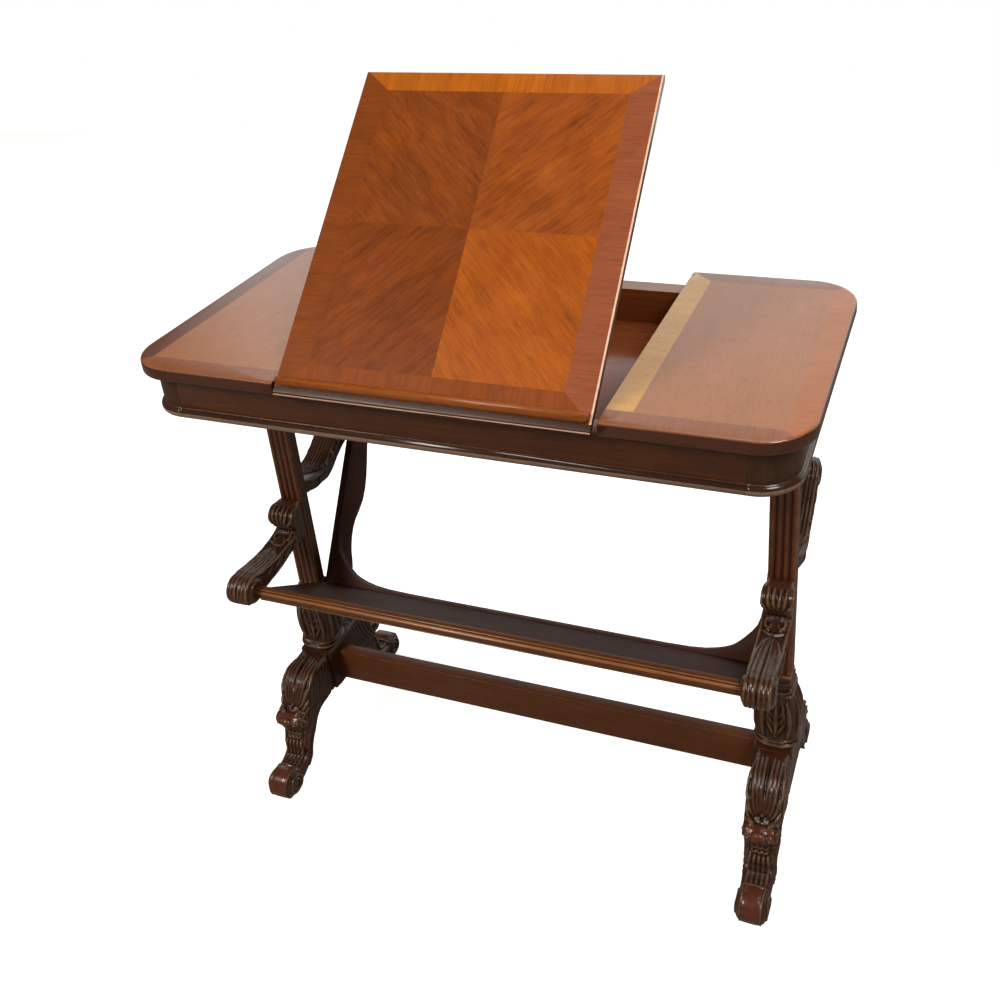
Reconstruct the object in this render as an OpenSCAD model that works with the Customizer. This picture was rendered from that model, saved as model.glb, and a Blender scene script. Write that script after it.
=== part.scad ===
// Small mahogany reading table with a rising centre slope and an open book trough.
// Origin on the floor under the middle of the top, X along the top, Y to the back, Z up.

/* [Table] */
// Height of the top above the floor
top_height = 760; // [730:5:790]
// Length of the top over the nosing
top_width = 832; // [820:2:880]
// Depth of the top over the nosing
top_depth = 416; // [410:2:430]
// Thickness of the top boards
top_thickness = 17; // [16:0.5:18]
// Radius of the rounded outer corners
corner_radius = 62; // [54:2:66]

/* [Frieze] */
// Height of the frieze below the top
frieze_height = 58; // [56:1:62]
// Thickness of the frieze boards
frieze_thickness = 19; // [17:0.5:20]
// How far the nosing stands out past the frieze
overhang = 16.5; // [16:0.5:17.5]
// Height of the bead along the foot of the frieze
bead_height = 14; // [12:1:14]

/* [Reading slope] */
// Width of the rising slope
flap_width = 384; // [380:2:388]
// Length of the rising slope from front to back
flap_length = 434; // [424:2:436]
// Angle at which the slope stands
flap_angle = 42.6; // [40:0.2:44]
// Gap between the slope and the fixed tops
flap_gap = 5; // [4:0.5:6]
// Height of the book rest above the slope
rest_height = 9; // [8:0.5:10]

/* [Trestles] */
// Distance from the end of the top in to each trestle
trestle_inset = 56; // [54:1:60]
// Width of a reeded post
post_width = 36; // [34:0.5:37]
// Reach of a foot from the middle to its toe
foot_reach = 186; // [178:1:190]
// Width of a toe
toe_width = 42; // [40:1:45]
// Thickness of the stretcher
stretcher_thickness = 18; // [16:1:20]

/* [Book trough] */
// Height of the trough's front edge
trough_front_z = 384; // [380:1:388]
// Thickness of the trough boards
trough_board = 12; // [10:0.5:12.5]
// Slope of the trough seat
trough_slope = 34; // [33:0.5:35]

/* [Hidden] */
$fn = 48;
eps = 0.01;

// Sizes that follow from the ones above
half_w = top_width / 2;
half_d = top_depth / 2;
trestle_x = half_w - trestle_inset;
under_z = top_height - top_thickness;
frieze_z = under_z - frieze_height;
frieze_x = half_w - overhang;
frieze_y = half_d - overhang;
frieze_r = corner_radius - overhang;
corner_flat = 4;
run_x = frieze_x - frieze_r - corner_flat;
run_y = frieze_y - frieze_r - corner_flat;
inner_y = frieze_y - frieze_thickness;
inner_x = frieze_x - frieze_thickness;
tongue_length = 8;
tongue_thickness = 6;
tongue_margin = 8;
cove_r = 8;
bead_rebate = 4;
bead_r = bead_height / 2;
bead_sink = 2;
nose_top_r = 4;
nose_under_r = 3;

// Well under the slope
flap_half = flap_width / 2;
panel_inner_x = flap_half + flap_gap + 0.5;
lid_clearance = 0.6;
rail_top_z = under_z - lid_clearance;
well_wall_x = panel_inner_x - 10.5;
well_wall = 16;
floor_top_z = frieze_z + 10;
floor_thick = 8;
floor_groove = 4;
inner_corner_r = 8;

// Hinge line under the front edge of the slope
hinge_front = 6.8;
slope_front = half_d - 1;
hinge_y = -(slope_front - hinge_front);
hinge_z = under_z;
leaf_x = 130;
leaf_length = 50;
leaf_thick = 2;
leaf_back_y = hinge_y + 28;
barrel_r = 3.2;
pin_r = 1.5;
pin_clearance = 0.05;
barrel_room = 0.6;
knuckle_gap = 0.2;
leaf_screw_r = 1.4;
leaf_screw_head = 2.8;
leaf_screw_length = 12;

// Prop that holds the slope up
prop_along = 170;
prop_drop = 8;
prop_length = 190;
prop_foot_z = floor_top_z + 15;
foot_bar_r = 5;
strut_x = 75;
strut_w = 10;
strut_h = 12;
strut_end_r = 6;
prop_pin_r = 3;
lug_gap = 0.5;
lug_w = 10;
rise = prop_along * sin(flap_angle) - prop_drop * cos(flap_angle);
prop_beta = asin((hinge_z + rise - prop_foot_z) / prop_length);
pivot_y = hinge_y + prop_along * cos(flap_angle) + prop_drop * sin(flap_angle);
pivot_z = hinge_z + rise;
lug_inner = strut_x + strut_w / 2 + lug_gap;
foot_y = pivot_y + prop_length * cos(prop_beta);
rack_crest = prop_foot_z - foot_bar_r - 0.4;
rack_pitch = 24;
rack_notch = 2.4;
rack_x = 52;
rack_w = 12;

// Trestle levels
vase_z0 = 174;
vase_z1 = 289;
block_z0 = 92;
block_half_x = 30;
block_half_y = 30;
bearer_h = 30;
bearer_z = under_z - bearer_h;
bearer_x0 = trestle_x - 24;
bearer_x1 = inner_x - 6.5;
tenon = 20;
scroll_y = -149;
scroll_z = trough_front_z - 1;
scroll_r = 19.5;
arm_scroll_y = 161;
arm_scroll_z = scroll_z + 117;
arm_scroll_r = 20;
carrier_half = 20;
stretcher_z0 = 107;
stretcher_z1 = 161;
stretcher_tenon = 24;
peg_r = 3.5;

// Trough levels
trough_half = trestle_x - carrier_half;
trough_front_y = -141;
crease_y = trough_front_y + 146;
crease_z = trough_front_z - 146 * tan(trough_slope);
seat_run = 146 / cos(trough_slope);
back_tilt = 90 - trough_slope;
cheek_thick = 12;
back_half = trough_half - cheek_thick;
dowel_r = 3;

wood = [0.30, 0.13, 0.07];
light_wood = [0.52, 0.28, 0.13];
pale_wood = [0.60, 0.36, 0.18];
brass = [0.75, 0.60, 0.30];
steel = [0.55, 0.55, 0.55];

function arc(cx, cy, r, a0, a1, n) =
  [for (i = [0:n]) [cx + r * cos(a0 + (a1 - a0) * i / n), cy + r * sin(a0 + (a1 - a0) * i / n)]];

// Extrusion of a (y, z) outline along X, centred
module along_x(w) {
  translate([-w / 2, 0, 0])
    rotate([90, 0, 90])
      linear_extrude(w) children();
}

// Extrusion of an (x, z) outline along Y, centred
module along_y(w) {
  translate([0, w / 2, 0])
    rotate([90, 0, 0])
      linear_extrude(w) children();
}

// Straight length of a moulding at the back, face at distance d
module straight_run(section, length, d) {
  translate([0, d, 0]) along_x(length) polygon(section);
}

// Quarter turn of a moulding round a corner of radius r
module corner_turn(section, r) {
  rotate_extrude(angle = 90) polygon([for (p = section) [p[0] + r, p[1]]]);
}

// Turns its child to each side of the table
module to_front() {
  rotate([0, 0, 180]) children();
}

module mirror_left() {
  mirror([1, 0, 0]) children();
}

module mirror_front() {
  mirror([0, 1, 0]) children();
}

// Frieze board seen from its end, outer face at zero
frieze_section = concat(
  [[-frieze_thickness, frieze_z], [-bead_rebate, frieze_z]],
  [[-bead_rebate, frieze_z + bead_height], [0, frieze_z + bead_height]],
  arc(cove_r, under_z - cove_r - 1, cove_r, 180, 90, 6),
  [[cove_r, under_z], [-frieze_thickness, under_z]]
);

bead_half = acos(bead_sink / bead_r);
bead_section = concat(
  [[-bead_rebate, frieze_z], [0, frieze_z]],
  arc(-bead_sink, frieze_z + bead_r, bead_r, -bead_half, bead_half, 10),
  [[0, frieze_z + bead_height], [-bead_rebate, frieze_z + bead_height]]
);

function nosing_section(depth) = concat(
  [[-depth, under_z]],
  arc(-nose_under_r, under_z + nose_under_r, nose_under_r, -90, 0, 4),
  arc(-nose_top_r, top_height - nose_top_r, nose_top_r, 0, 90, 5),
  [[-depth, top_height]]
);

// Fixed top on the right, its twin is mirrored
module top_panel() {
  straight = half_w - corner_radius - panel_inner_x;
  mid = panel_inner_x + straight / 2;
  difference() {
    union() {
      translate([mid, 0, 0]) straight_run(nosing_section(half_d), straight, half_d);
      translate([mid, 0, 0]) to_front() straight_run(nosing_section(half_d), straight, half_d);
      rotate([0, 0, -90])
        straight_run(nosing_section(corner_radius), 2 * (half_d - corner_radius), half_w);
      for (s = [1, -1])
        scale([1, s, 1])
          translate([half_w - corner_radius, half_d - corner_radius, 0])
            corner_turn(nosing_section(corner_radius), corner_radius);
    }
    difference() {
      translate([panel_inner_x - 1, half_d - inner_corner_r, under_z - 1])
        cube([inner_corner_r + 1, inner_corner_r + 1, top_thickness + 2]);
      translate([panel_inner_x + inner_corner_r, half_d - inner_corner_r, under_z - 2])
        cylinder(r = inner_corner_r, h = top_thickness + 4);
    }
    panel_screw_solids();
  }
}

module left_top_panel() {
  color(light_wood) mirror_left() top_panel();
}

module right_top_panel() {
  color(light_wood) top_panel();
}

// Screws that hold the tops down to the bearers
panel_screw_r = 2.2;
panel_screw_up = 11;
module panel_screw_solids() {
  for (y = [-130, -70, 70, 130]) {
    translate([trestle_x - 2, y, bearer_z]) cylinder(r = panel_screw_r, h = bearer_h + panel_screw_up);
    translate([trestle_x - 2, y, bearer_z]) cylinder(r = 2 * panel_screw_r, h = 3);
  }
}

module panel_screws() {
  color(steel) {
    panel_screw_solids();
    mirror_left() panel_screw_solids();
  }
}

// Tongue on each end of a frieze board, or its groove
module frieze_tongue(length) {
  for (s = [-1, 1])
    translate([s * (length / 2 + tongue_length / 2), -frieze_thickness / 2 - 1, 0])
      translate([-tongue_length / 2, -tongue_thickness / 2, frieze_z + tongue_margin + 4])
        cube([tongue_length, tongue_thickness, frieze_height - 2 * tongue_margin - 8]);
}

module long_frieze() {
  straight_run(frieze_section, 2 * run_x, frieze_y);
  translate([0, frieze_y, 0]) frieze_tongue(2 * run_x);
}

// Groove for the well floor and the dropped edge under the slope
module long_frieze_cuts() {
  translate([-well_wall_x - well_wall, inner_y - 1, floor_top_z - floor_thick])
    cube([2 * (well_wall_x + well_wall), floor_groove + 1, floor_thick]);
  translate([-panel_inner_x + 0.5, inner_y - 1, rail_top_z])
    cube([2 * panel_inner_x - 1, frieze_thickness + cove_r + 2, lid_clearance + 1]);
}

module end_frieze() {
  rotate([0, 0, -90]) straight_run(frieze_section, 2 * run_y, frieze_x);
  rotate([0, 0, -90]) translate([0, frieze_x, 0]) frieze_tongue(2 * run_y);
}

module front_frieze() {
  color(wood)
    difference() {
      mirror_front()
        difference() {
          long_frieze();
          long_frieze_cuts();
        }
      hinge_room();
      table_leaf_recess();
      table_leaf_screw_solids();
    }
}

module back_frieze() {
  color(wood)
    difference() {
      long_frieze();
      long_frieze_cuts();
    }
}

module left_frieze() {
  color(wood) mirror_left() end_frieze();
}

module right_frieze() {
  color(wood) end_frieze();
}

// Solid rounded corner between two friezes
module corner_piece() {
  difference() {
    union() {
      translate([frieze_x - frieze_r, frieze_y - frieze_r, 0]) corner_turn(frieze_section, frieze_r);
      translate([frieze_x - frieze_r - corner_flat / 2, 0, 0])
        straight_run(frieze_section, corner_flat, frieze_y);
      translate([0, frieze_y - frieze_r - corner_flat / 2, 0])
        rotate([0, 0, -90]) straight_run(frieze_section, corner_flat, frieze_x);
    }
    translate([0, frieze_y, 0]) frieze_tongue(2 * run_x);
    rotate([0, 0, -90]) translate([0, frieze_x, 0]) frieze_tongue(2 * run_y);
  }
}

module front_left_corner() {
  color(wood) mirror_left() mirror_front() corner_piece();
}

module front_right_corner() {
  color(wood) mirror_front() corner_piece();
}

module back_left_corner() {
  color(wood) mirror_left() corner_piece();
}

module back_right_corner() {
  color(wood) corner_piece();
}

// Bead let into the foot of the frieze
module front_bead() {
  color(wood) mirror_front() straight_run(bead_section, 2 * run_x, frieze_y);
}

module back_bead() {
  color(wood) straight_run(bead_section, 2 * run_x, frieze_y);
}

module end_bead() {
  rotate([0, 0, -90]) straight_run(bead_section, 2 * (frieze_y - frieze_r), frieze_x);
  for (s = [1, -1])
    scale([1, s, 1]) {
      translate([frieze_x - frieze_r, frieze_y - frieze_r, 0]) corner_turn(bead_section, frieze_r);
      translate([frieze_x - frieze_r - corner_flat / 2, 0, 0])
        straight_run(bead_section, corner_flat, frieze_y);
    }
}

module left_bead() {
  color(wood) mirror_left() end_bead();
}

module right_bead() {
  color(wood) end_bead();
}

// Well
module well_floor() {
  color(wood)
    translate([-well_wall_x - well_wall, -inner_y - floor_groove, floor_top_z - floor_thick])
      cube([2 * (well_wall_x + well_wall), 2 * (inner_y + floor_groove), floor_thick]);
}

module well_wall_board() {
  difference() {
    translate([well_wall_x, -inner_y, floor_top_z])
      cube([well_wall, 2 * inner_y, under_z - floor_top_z]);
    translate([well_wall_x - 1, -inner_y - 1, rail_top_z])
      cube([panel_inner_x - 0.5 - well_wall_x + 1, 2 * inner_y + 2, lid_clearance + 1]);
  }
}

module left_well_wall() {
  color(wood) mirror_left() well_wall_board();
}

module right_well_wall() {
  color(wood) well_wall_board();
}

// Notched strips that the foot of the prop rides on
module rack_strip() {
  difference() {
    translate([rack_x - rack_w / 2, foot_y - 78, floor_top_z])
      cube([rack_w, 150, rack_crest - floor_top_z]);
    for (k = [-3:2])
      translate([rack_x, foot_y + k * rack_pitch, rack_crest + foot_bar_r - rack_notch + 1])
        rotate([0, 90, 0]) cylinder(r = foot_bar_r + 1, h = rack_w + 2, center = true);
  }
}

module left_rack() {
  color(light_wood) mirror_left() rack_strip();
}

module right_rack() {
  color(light_wood) rack_strip();
}

// Cross bearers under the tops
bearer_notch = 13;
module bearer() {
  difference() {
    translate([bearer_x0, -inner_y, bearer_z]) cube([bearer_x1 - bearer_x0, 2 * inner_y, bearer_h]);
    for (s = [-1, 1])
      translate([(run_x + bearer_x1) / 2 + 1, s * inner_y, bearer_z + bearer_h / 2])
        cube([bearer_x1 - run_x + 2, 2 * bearer_notch, bearer_h + 2], center = true);
    translate([trestle_x, 0, 0]) post_tenon();
    panel_screw_solids();
  }
}

module left_bearer() {
  color(wood) mirror_left() bearer();
}

module right_bearer() {
  color(wood) bearer();
}

// Reeded posts
reed_r = post_width / 8;
reed_y = 6.5;
post_half_y = reed_y + reed_r;
module post_outline() {
  for (i = [-3, -1, 1, 3])
    for (s = [-1, 1])
      translate([i * reed_r, s * reed_y]) circle(r = reed_r, $fn = 32);
  for (s = [-1, 1])
    translate([s * 3 * reed_r, 0]) circle(r = reed_r, $fn = 32);
  square([6 * reed_r + 3, 2 * reed_y + 3], center = true);
}

module post_body(grow = 0) {
  translate([0, 0, vase_z1 - grow]) linear_extrude(bearer_z - vase_z1 + grow) post_outline();
}

module post_tenon() {
  translate([0, 0, bearer_z + tenon / 2]) cube([20, 12, tenon], center = true);
}

module post_foot_tenon() {
  translate([0, 0, vase_z1 - tenon / 2]) cube([18, 12, tenon], center = true);
}

module post() {
  difference() {
    union() {
      post_body();
      post_tenon();
      post_foot_tenon();
    }
    bracket_tenon();
    arm_tenon();
  }
}

module left_post() {
  color(wood) translate([-trestle_x, 0, 0]) post();
}

module right_post() {
  color(wood) translate([trestle_x, 0, 0]) post();
}

// Carved vase under each post
vase_x = [
  [26, 174], [29, 176], [29, 181], [27, 184], [27.5, 190], [29, 200], [29.5, 210], [28.5, 222],
  [26.5, 238], [23.5, 252], [20.5, 261], [18.5, 268], [18.5, 272], [18.5, 276], [18, 279], [18, 289]
];
vase_y = [
  [27, 174], [29, 176], [29, 181], [25.5, 184], [22, 190], [20, 200], [19.5, 212], [20.5, 224],
  [22.5, 240], [23.5, 252], [22.5, 261], [18, 268], [17.5, 272], [16.5, 276], [15, 279], [15, 289]
];
vase_plan = both_sides([
  [11, -28], [18, -24.5], [24.5, -18.5], [28, -10], [29, -4], [29, 4], [28, 10], [24.5, 18.5],
  [18, 24.5], [11, 28]
]);
vase_front = [for (i = [4:9]) [-vase_y[i][0], vase_y[i][1]]];
vase_side = [for (i = [4:9]) [-vase_x[i][0], vase_x[i][1]]];
function both_sides(pts) =
  concat(pts, [for (i = [len(pts) - 1:-1:0]) [-pts[i][0], pts[i][1]]]);

// Strip along a carved line, reaching out past the surface and a little way in
function band(pts, out, cut) =
  concat([for (p = pts) p + out], [for (i = [len(pts) - 1:-1:0]) pts[i] + cut]);

module vase() {
  difference() {
    intersection() {
      along_y(80) polygon(both_sides(vase_x));
      along_x(80) polygon(both_sides(vase_y));
      linear_extrude(300) polygon(vase_plan);
    }
    post_foot_tenon();
    for (x = [-20, -12, -4, 4, 12, 20])
      for (s = [1, -1])
        scale([1, s, 1]) translate([x, 0, 0]) along_x(2) polygon(band(vase_front, [-4, 0], [1.6, 0]));
    for (y = [-11, 0, 11])
      for (s = [1, -1])
        scale([s, 1, 1]) translate([0, y, 0]) along_y(2) polygon(band(vase_side, [-4, 0], [1.6, 0]));
    translate([0, 0, vase_z0 - eps]) block_spigot();
  }
}

module block_spigot() {
  cylinder(r = 11, h = 22 + eps);
}

module left_vase() {
  color(wood) translate([-trestle_x, 0, 0]) vase();
}

module right_vase() {
  color(wood) translate([trestle_x, 0, 0]) vase();
}

// Block that joins the two legs of a trestle and takes the stretcher
block_outline = both_sides([
  [22, block_z0], [28, 98], [block_half_x, 103], [block_half_x, 166], [28.5, 171], [26, vase_z0]
]);

module foot_block_body() {
  difference() {
    union() {
      along_y(2 * block_half_y) polygon(block_outline);
      translate([0, 0, vase_z0 - eps]) block_spigot();
    }
    leg_tenon();
    mirror_front() leg_tenon();
  }
}

// Tenon of a leg in its block
module leg_tenon() {
  translate([-7, -block_half_y - 1, 116]) cube([14, block_half_y - 11, 36]);
}

module left_foot_block() {
  color(wood)
    difference() {
      translate([-trestle_x, 0, 0]) foot_block_body();
      stretcher_tenons();
      stretcher_peg_solids();
    }
}

module right_foot_block() {
  color(wood)
    difference() {
      translate([trestle_x, 0, 0]) foot_block_body();
      stretcher_tenons();
      stretcher_peg_solids();
    }
}

// Leg seen from the side, running forward from the block
toe_r = 27;
toe_y = -(foot_reach - toe_r);
leg_outer = [
  [-30, 170], [-44, 172], [-60, 171], [-75, 167], [-88, 159], [-97, 147], [-103, 134],
  [-107, 120], [-111, 104], [-113, 92], [-115, 80], [-121, 71], [-126, 64], [-121, 58],
  [-118, 51], [-123, 45], [-133, 44]
];
leg_inner = [
  [toe_y + 15, 5], [-135, 13], [-122, 26], [-111, 42], [-103, 58], [-95, 74], [-85, 89], [-71, 98],
  [-56, 102], [-42, 102], [-30, 99]
];
leg_outline = concat(
  leg_outer,
  arc(toe_y, toe_r, toe_r, 58, 250, 16),
  [[toe_y - 6, 0], [toe_y + 7, 0]],
  leg_inner
);
function leg_half(y) = toe_width / 2 + 4 * max(0, min(1, (155 - abs(y)) / 125));
leg_plan = concat(
  [for (y = [-30:-26:-160]) [leg_half(y), y]],
  [[toe_width / 2, -foot_reach - 1], [-toe_width / 2, -foot_reach - 1]],
  [for (y = [-160:26:-30]) [-leg_half(y), y]]
);

// Rounded under edges of the toe, seen from the front
leg_front = both_sides(concat(
  [[toe_width / 2 - 13, 0]],
  arc(toe_width / 2 - 13, 13, 13, -75, 0, 6),
  [[40, 30], [40, 140], [26.5, 152], [25, 161], [22, 168], [17, 173], [17, 180]]
));
knee_y = -117;
knee_z = 110;
knee_half = 21.5;

// Carved lines that follow the knee and the leaf below it
knee_line = [for (i = [1:7]) leg_outer[i]];
shin_line = [for (i = [8:10]) leg_outer[i]];

module leg() {
  difference() {
    union() {
      intersection() {
        along_x(80) polygon(leg_outline);
        linear_extrude(180) polygon(leg_plan);
        along_y(2 * foot_reach + 20) polygon(leg_front);
      }
      translate([0, knee_y, knee_z]) rotate([0, 90, 0]) cylinder(r = 13, h = 2 * knee_half, center = true);
      translate([0, knee_y - 5, knee_z]) sphere(r = 13.5, $fn = 40);
      leg_tenon();
    }
    for (x = [-20, -12, -4, 4, 12, 20])
      translate([x, 0, 0]) along_x(1.8) polygon(band(knee_line, [-4, 4], [1.6, -1]));
    for (x = [-15, -9, -3, 3, 9, 15])
      translate([x, 0, 0]) along_x(1.6) polygon(band(shin_line, [-4, 0], [1.4, 0]));
    for (s = [-1, 1])
      translate([s * knee_half, knee_y, knee_z])
        rotate([0, 90, 0]) difference() {
          cylinder(r = 8.5, h = 2.4, center = true);
          cylinder(r = 4.5, h = 3, center = true);
        }
  }
}

module left_front_leg() {
  color(wood) translate([-trestle_x, 0, 0]) leg();
}

module left_rear_leg() {
  color(wood) translate([-trestle_x, 0, 0]) rotate([0, 0, 180]) leg();
}

module right_front_leg() {
  color(wood) translate([trestle_x, 0, 0]) leg();
}

module right_rear_leg() {
  color(wood) translate([trestle_x, 0, 0]) rotate([0, 0, 180]) leg();
}

// Carved bracket that carries the front of the trough
bz = scroll_z;
bracket_outline = concat(
  [[-6, bz + 61], [-18, bz + 64], [-30, bz + 63], [-40, bz + 57], [-45, bz + 48], [-44, bz + 38]],
  [[-38, bz + 30], [-35, bz + 25], [-41, bz + 20], [-54, bz + 16], [-72, bz + 14], [-92, bz + 14]],
  [[-112, bz + 15], [-128, bz + 17], [-140, bz + 19]],
  [[-149, bz], [-140, bz - 14], [-128, bz - 11], [-112, bz - 9], [-96, bz - 8], [-82, bz - 6]],
  [[-68, bz - 3], [-54, bz], [-40, bz + 2], [-26, bz + 2], [-14, bz], [-6, bz - 3]]
);
bracket_top = [
  [-41, bz + 20], [-54, bz + 16], [-72, bz + 14], [-92, bz + 14], [-112, bz + 15], [-128, bz + 17]
];

module bracket_tenon() {
  translate([0, -post_half_y + 4.5, bz + 17]) cube([12, 9, 26], center = true);
}

function scroll_section(r, half) = [
  [0, -half], [r - 6, -half], [r - 2, -half + 2.5], [r, -half + 7],
  [r, half - 7], [r - 2, half - 2.5], [r - 6, half], [0, half]
];

module scroll_end(y, z, r, half) {
  difference() {
    translate([0, y, z]) rotate([0, 90, 0]) rotate_extrude() polygon(scroll_section(r, half));
    for (s = [-1, 1])
      translate([s * half, y, z])
        rotate([0, 90, 0]) difference() {
          cylinder(r = r - 8, h = 3, center = true);
          cylinder(r = r - 12, h = 4, center = true);
        }
    for (x = [-14, -7, 0, 7, 14])
      translate([x, y, z])
        rotate([0, 90, 0]) difference() {
          cylinder(r = r + 2, h = 2, center = true);
          cylinder(r = r - 1.8, h = 3, center = true);
        }
  }
}

module front_bracket() {
  difference() {
    union() {
      along_x(34) polygon(bracket_outline);
      scroll_end(scroll_y, scroll_z, scroll_r, carrier_half);
      translate([0, -31, bz + 47]) rotate([0, 90, 0]) cylinder(r = 14, h = 37, center = true);
    }
    for (x = [-12, -4, 4, 12])
      translate([x, 0, 0]) along_x(1.8) polygon(band(bracket_top, [0, 4], [0, -1.6]));
    post_body(40);
    translate([0, 0, bz + 10]) cube([60, 2 * post_half_y - 1.5, 150], center = true);
  }
  bracket_tenon();
}

module left_front_bracket() {
  color(wood)
    difference() {
      translate([-trestle_x, 0, 0]) front_bracket();
      trough_dowel_solids();
    }
}

module right_front_bracket() {
  color(wood)
    difference() {
      translate([trestle_x, 0, 0]) front_bracket();
      trough_dowel_solids();
    }
}

// Carved arm that carries the back of the trough
az = arm_scroll_z;
arm_outline = [
  [6, az - 66], [18, az - 62], [32, az - 61], [50, az - 61], [66, az - 58], [80, az - 52],
  [96, az - 42], [112, az - 34], [126, az - 29], [144, az - 22], [162, az], [152, az + 14],
  [140, az + 4], [126, az - 3], [112, az - 10], [100, az - 17], [88, az - 25], [76, az - 32],
  [62, az - 37], [48, az - 38], [32, az - 38], [18, az - 36], [6, az - 31]
];
arm_under = [
  [126, az - 29], [112, az - 34], [96, az - 42], [80, az - 52], [66, az - 58], [50, az - 61], [32, az - 61]
];

module arm_tenon() {
  translate([0, post_half_y - 4.5, az - 43]) cube([12, 9, 26], center = true);
}

module rear_arm() {
  difference() {
    union() {
      along_x(40) polygon(arm_outline);
      scroll_end(arm_scroll_y, arm_scroll_z, arm_scroll_r, carrier_half);
    }
    for (x = [-15, -9, -3, 3, 9, 15])
      translate([x, 0, 0]) along_x(1.8) polygon(band(arm_under, [2, -4], [-1, 1.6]));
    post_body(40);
    translate([0, 0, az - 43]) cube([60, 2 * post_half_y - 1.5, 150], center = true);
  }
  arm_tenon();
}

module left_rear_arm() {
  color(wood)
    difference() {
      translate([-trestle_x, 0, 0]) rear_arm();
      trough_dowel_solids();
    }
}

module right_rear_arm() {
  color(wood)
    difference() {
      translate([trestle_x, 0, 0]) rear_arm();
      trough_dowel_solids();
    }
}

// Stretcher between the trestles
stretcher_half = trestle_x - block_half_x;
module stretcher_tenons() {
  translate([0, 0, (stretcher_z0 + stretcher_z1) / 2])
    cube([2 * (stretcher_half + stretcher_tenon), 10, 38], center = true);
}

module stretcher_peg_solids() {
  for (s = [-1, 1])
    translate([s * (stretcher_half + 12), 0, 134])
      rotate([90, 0, 0]) cylinder(r = peg_r, h = 2 * block_half_y, center = true);
}

module stretcher_pegs() {
  color(light_wood) stretcher_peg_solids();
}

module stretcher() {
  color(light_wood)
    difference() {
      union() {
        translate([0, 0, (stretcher_z0 + stretcher_z1) / 2])
          cube([2 * stretcher_half, stretcher_thickness, stretcher_z1 - stretcher_z0], center = true);
        stretcher_tenons();
      }
      stretcher_peg_solids();
    }
}

// Book trough: seat, back and front rail
module in_seat_plane() {
  translate([0, crease_y, crease_z]) rotate([-trough_slope, 0, 0]) children();
}

module trough_seat() {
  color(wood)
    difference() {
      in_seat_plane()
        translate([-trough_half, -seat_run - 4, -trough_board])
          cube([2 * trough_half, seat_run + 4, trough_board]);
      translate([0, trough_front_y + 4 - 30, trough_front_z])
        cube([2 * trough_half + 2, 60, 200], center = true);
    }
}

// Low back board that sweeps up to the cheeks at its ends, drawn flat and then leaned back
flare = [
  [0, 4], [back_half - 248, 3.5], [back_half - 188, 3.5], [back_half - 128, 4], [back_half - 93, 5],
  [back_half - 72, 7], [back_half - 56, 10.5], [back_half - 45, 14], [back_half - 36, 18],
  [back_half - 27, 25], [back_half - 19, 33], [back_half - 11, 42], [back_half - 5, 51],
  [back_half - 2, 61], [back_half, 76]
];
back_outline = concat(
  flare,
  [[back_half, -trough_board], [-back_half, -trough_board]],
  [for (i = [len(flare) - 1:-1:1]) [-flare[i][0], flare[i][1]]]
);

module trough_back() {
  color(wood)
    translate([0, crease_y, crease_z])
      rotate([back_tilt, 0, 0])
        translate([0, 0, -trough_board]) linear_extrude(trough_board) polygon(back_outline);
}

// Shaped cheek at each end of the trough, listed as (along the back, behind its face)
cheek_points = [
  [-12, 0], [262, 0], [268, 4], [270, 13], [268, 24], [262, 34], [250, 41], [234, 46], [216, 49],
  [190, 56], [168, 61], [148, 63], [130, 61.5], [114, 55], [98, 46.5], [85, 43.5], [72, 43.5],
  [58, 46], [46, 50], [34, 56], [22, 61], [10, 61], [1, 56], [-6, 46], [-10, 34], [-12, 20]
];
function on_back(a, p) = [
  crease_y + a * cos(back_tilt) + p * sin(back_tilt),
  crease_z + a * sin(back_tilt) - p * cos(back_tilt)
];

module trough_cheek() {
  difference() {
    translate([back_half + cheek_thick / 2, 0, 0])
      along_x(cheek_thick) polygon([for (q = cheek_points) on_back(q[0], q[1])]);
    trough_dowel_solids();
  }
}

module left_trough_cheek() {
  color(wood) mirror_left() trough_cheek();
}

module right_trough_cheek() {
  color(wood) trough_cheek();
}

// Front rail with its bead
rail_y = trough_front_y + 4;
rail_outline = concat(
  [[rail_y, trough_front_z - 19], [rail_y, trough_front_z + 1], [rail_y - 8, trough_front_z + 1]],
  [[rail_y - 9, trough_front_z], [rail_y - 8, trough_front_z - 1.2]],
  arc(rail_y - 7, trough_front_z - 8, 6.5, 80, 280, 12),
  [[rail_y - 7, trough_front_z - 15.8], [rail_y - 9, trough_front_z - 17]],
  [[rail_y - 7, trough_front_z - 19]]
);

module trough_front_rail() {
  color(pale_wood)
    difference() {
      along_x(2 * trough_half) polygon(rail_outline);
      trough_dowel_solids();
    }
}

// Dowels that fix the trough to the brackets and arms
cheek_dowel = on_back(249, 12);
module trough_dowel_solids() {
  for (s = [-1, 1]) {
    translate([s * trough_half, rail_y - 5, trough_front_z - 9])
      rotate([0, 90, 0]) cylinder(r = dowel_r, h = 20, center = true);
    translate([s * trough_half, cheek_dowel[0], cheek_dowel[1]])
      rotate([0, 90, 0]) cylinder(r = dowel_r, h = 20, center = true);
  }
}

module trough_dowels() {
  color(light_wood) trough_dowel_solids();
}

// Brass hinges, the table leaf carries the pin
leaf_spots = [-leaf_x, leaf_x];
knuckle = leaf_length / 3;

module hinge_room() {
  for (x = leaf_spots)
    translate([x, hinge_y, hinge_z])
      rotate([0, 90, 0]) cylinder(r = barrel_r + barrel_room, h = leaf_length + 1, center = true);
}

module leaf_plate(z) {
  translate([-leaf_length / 2, hinge_y, z]) cube([leaf_length, leaf_back_y - hinge_y, leaf_thick]);
}

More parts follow.
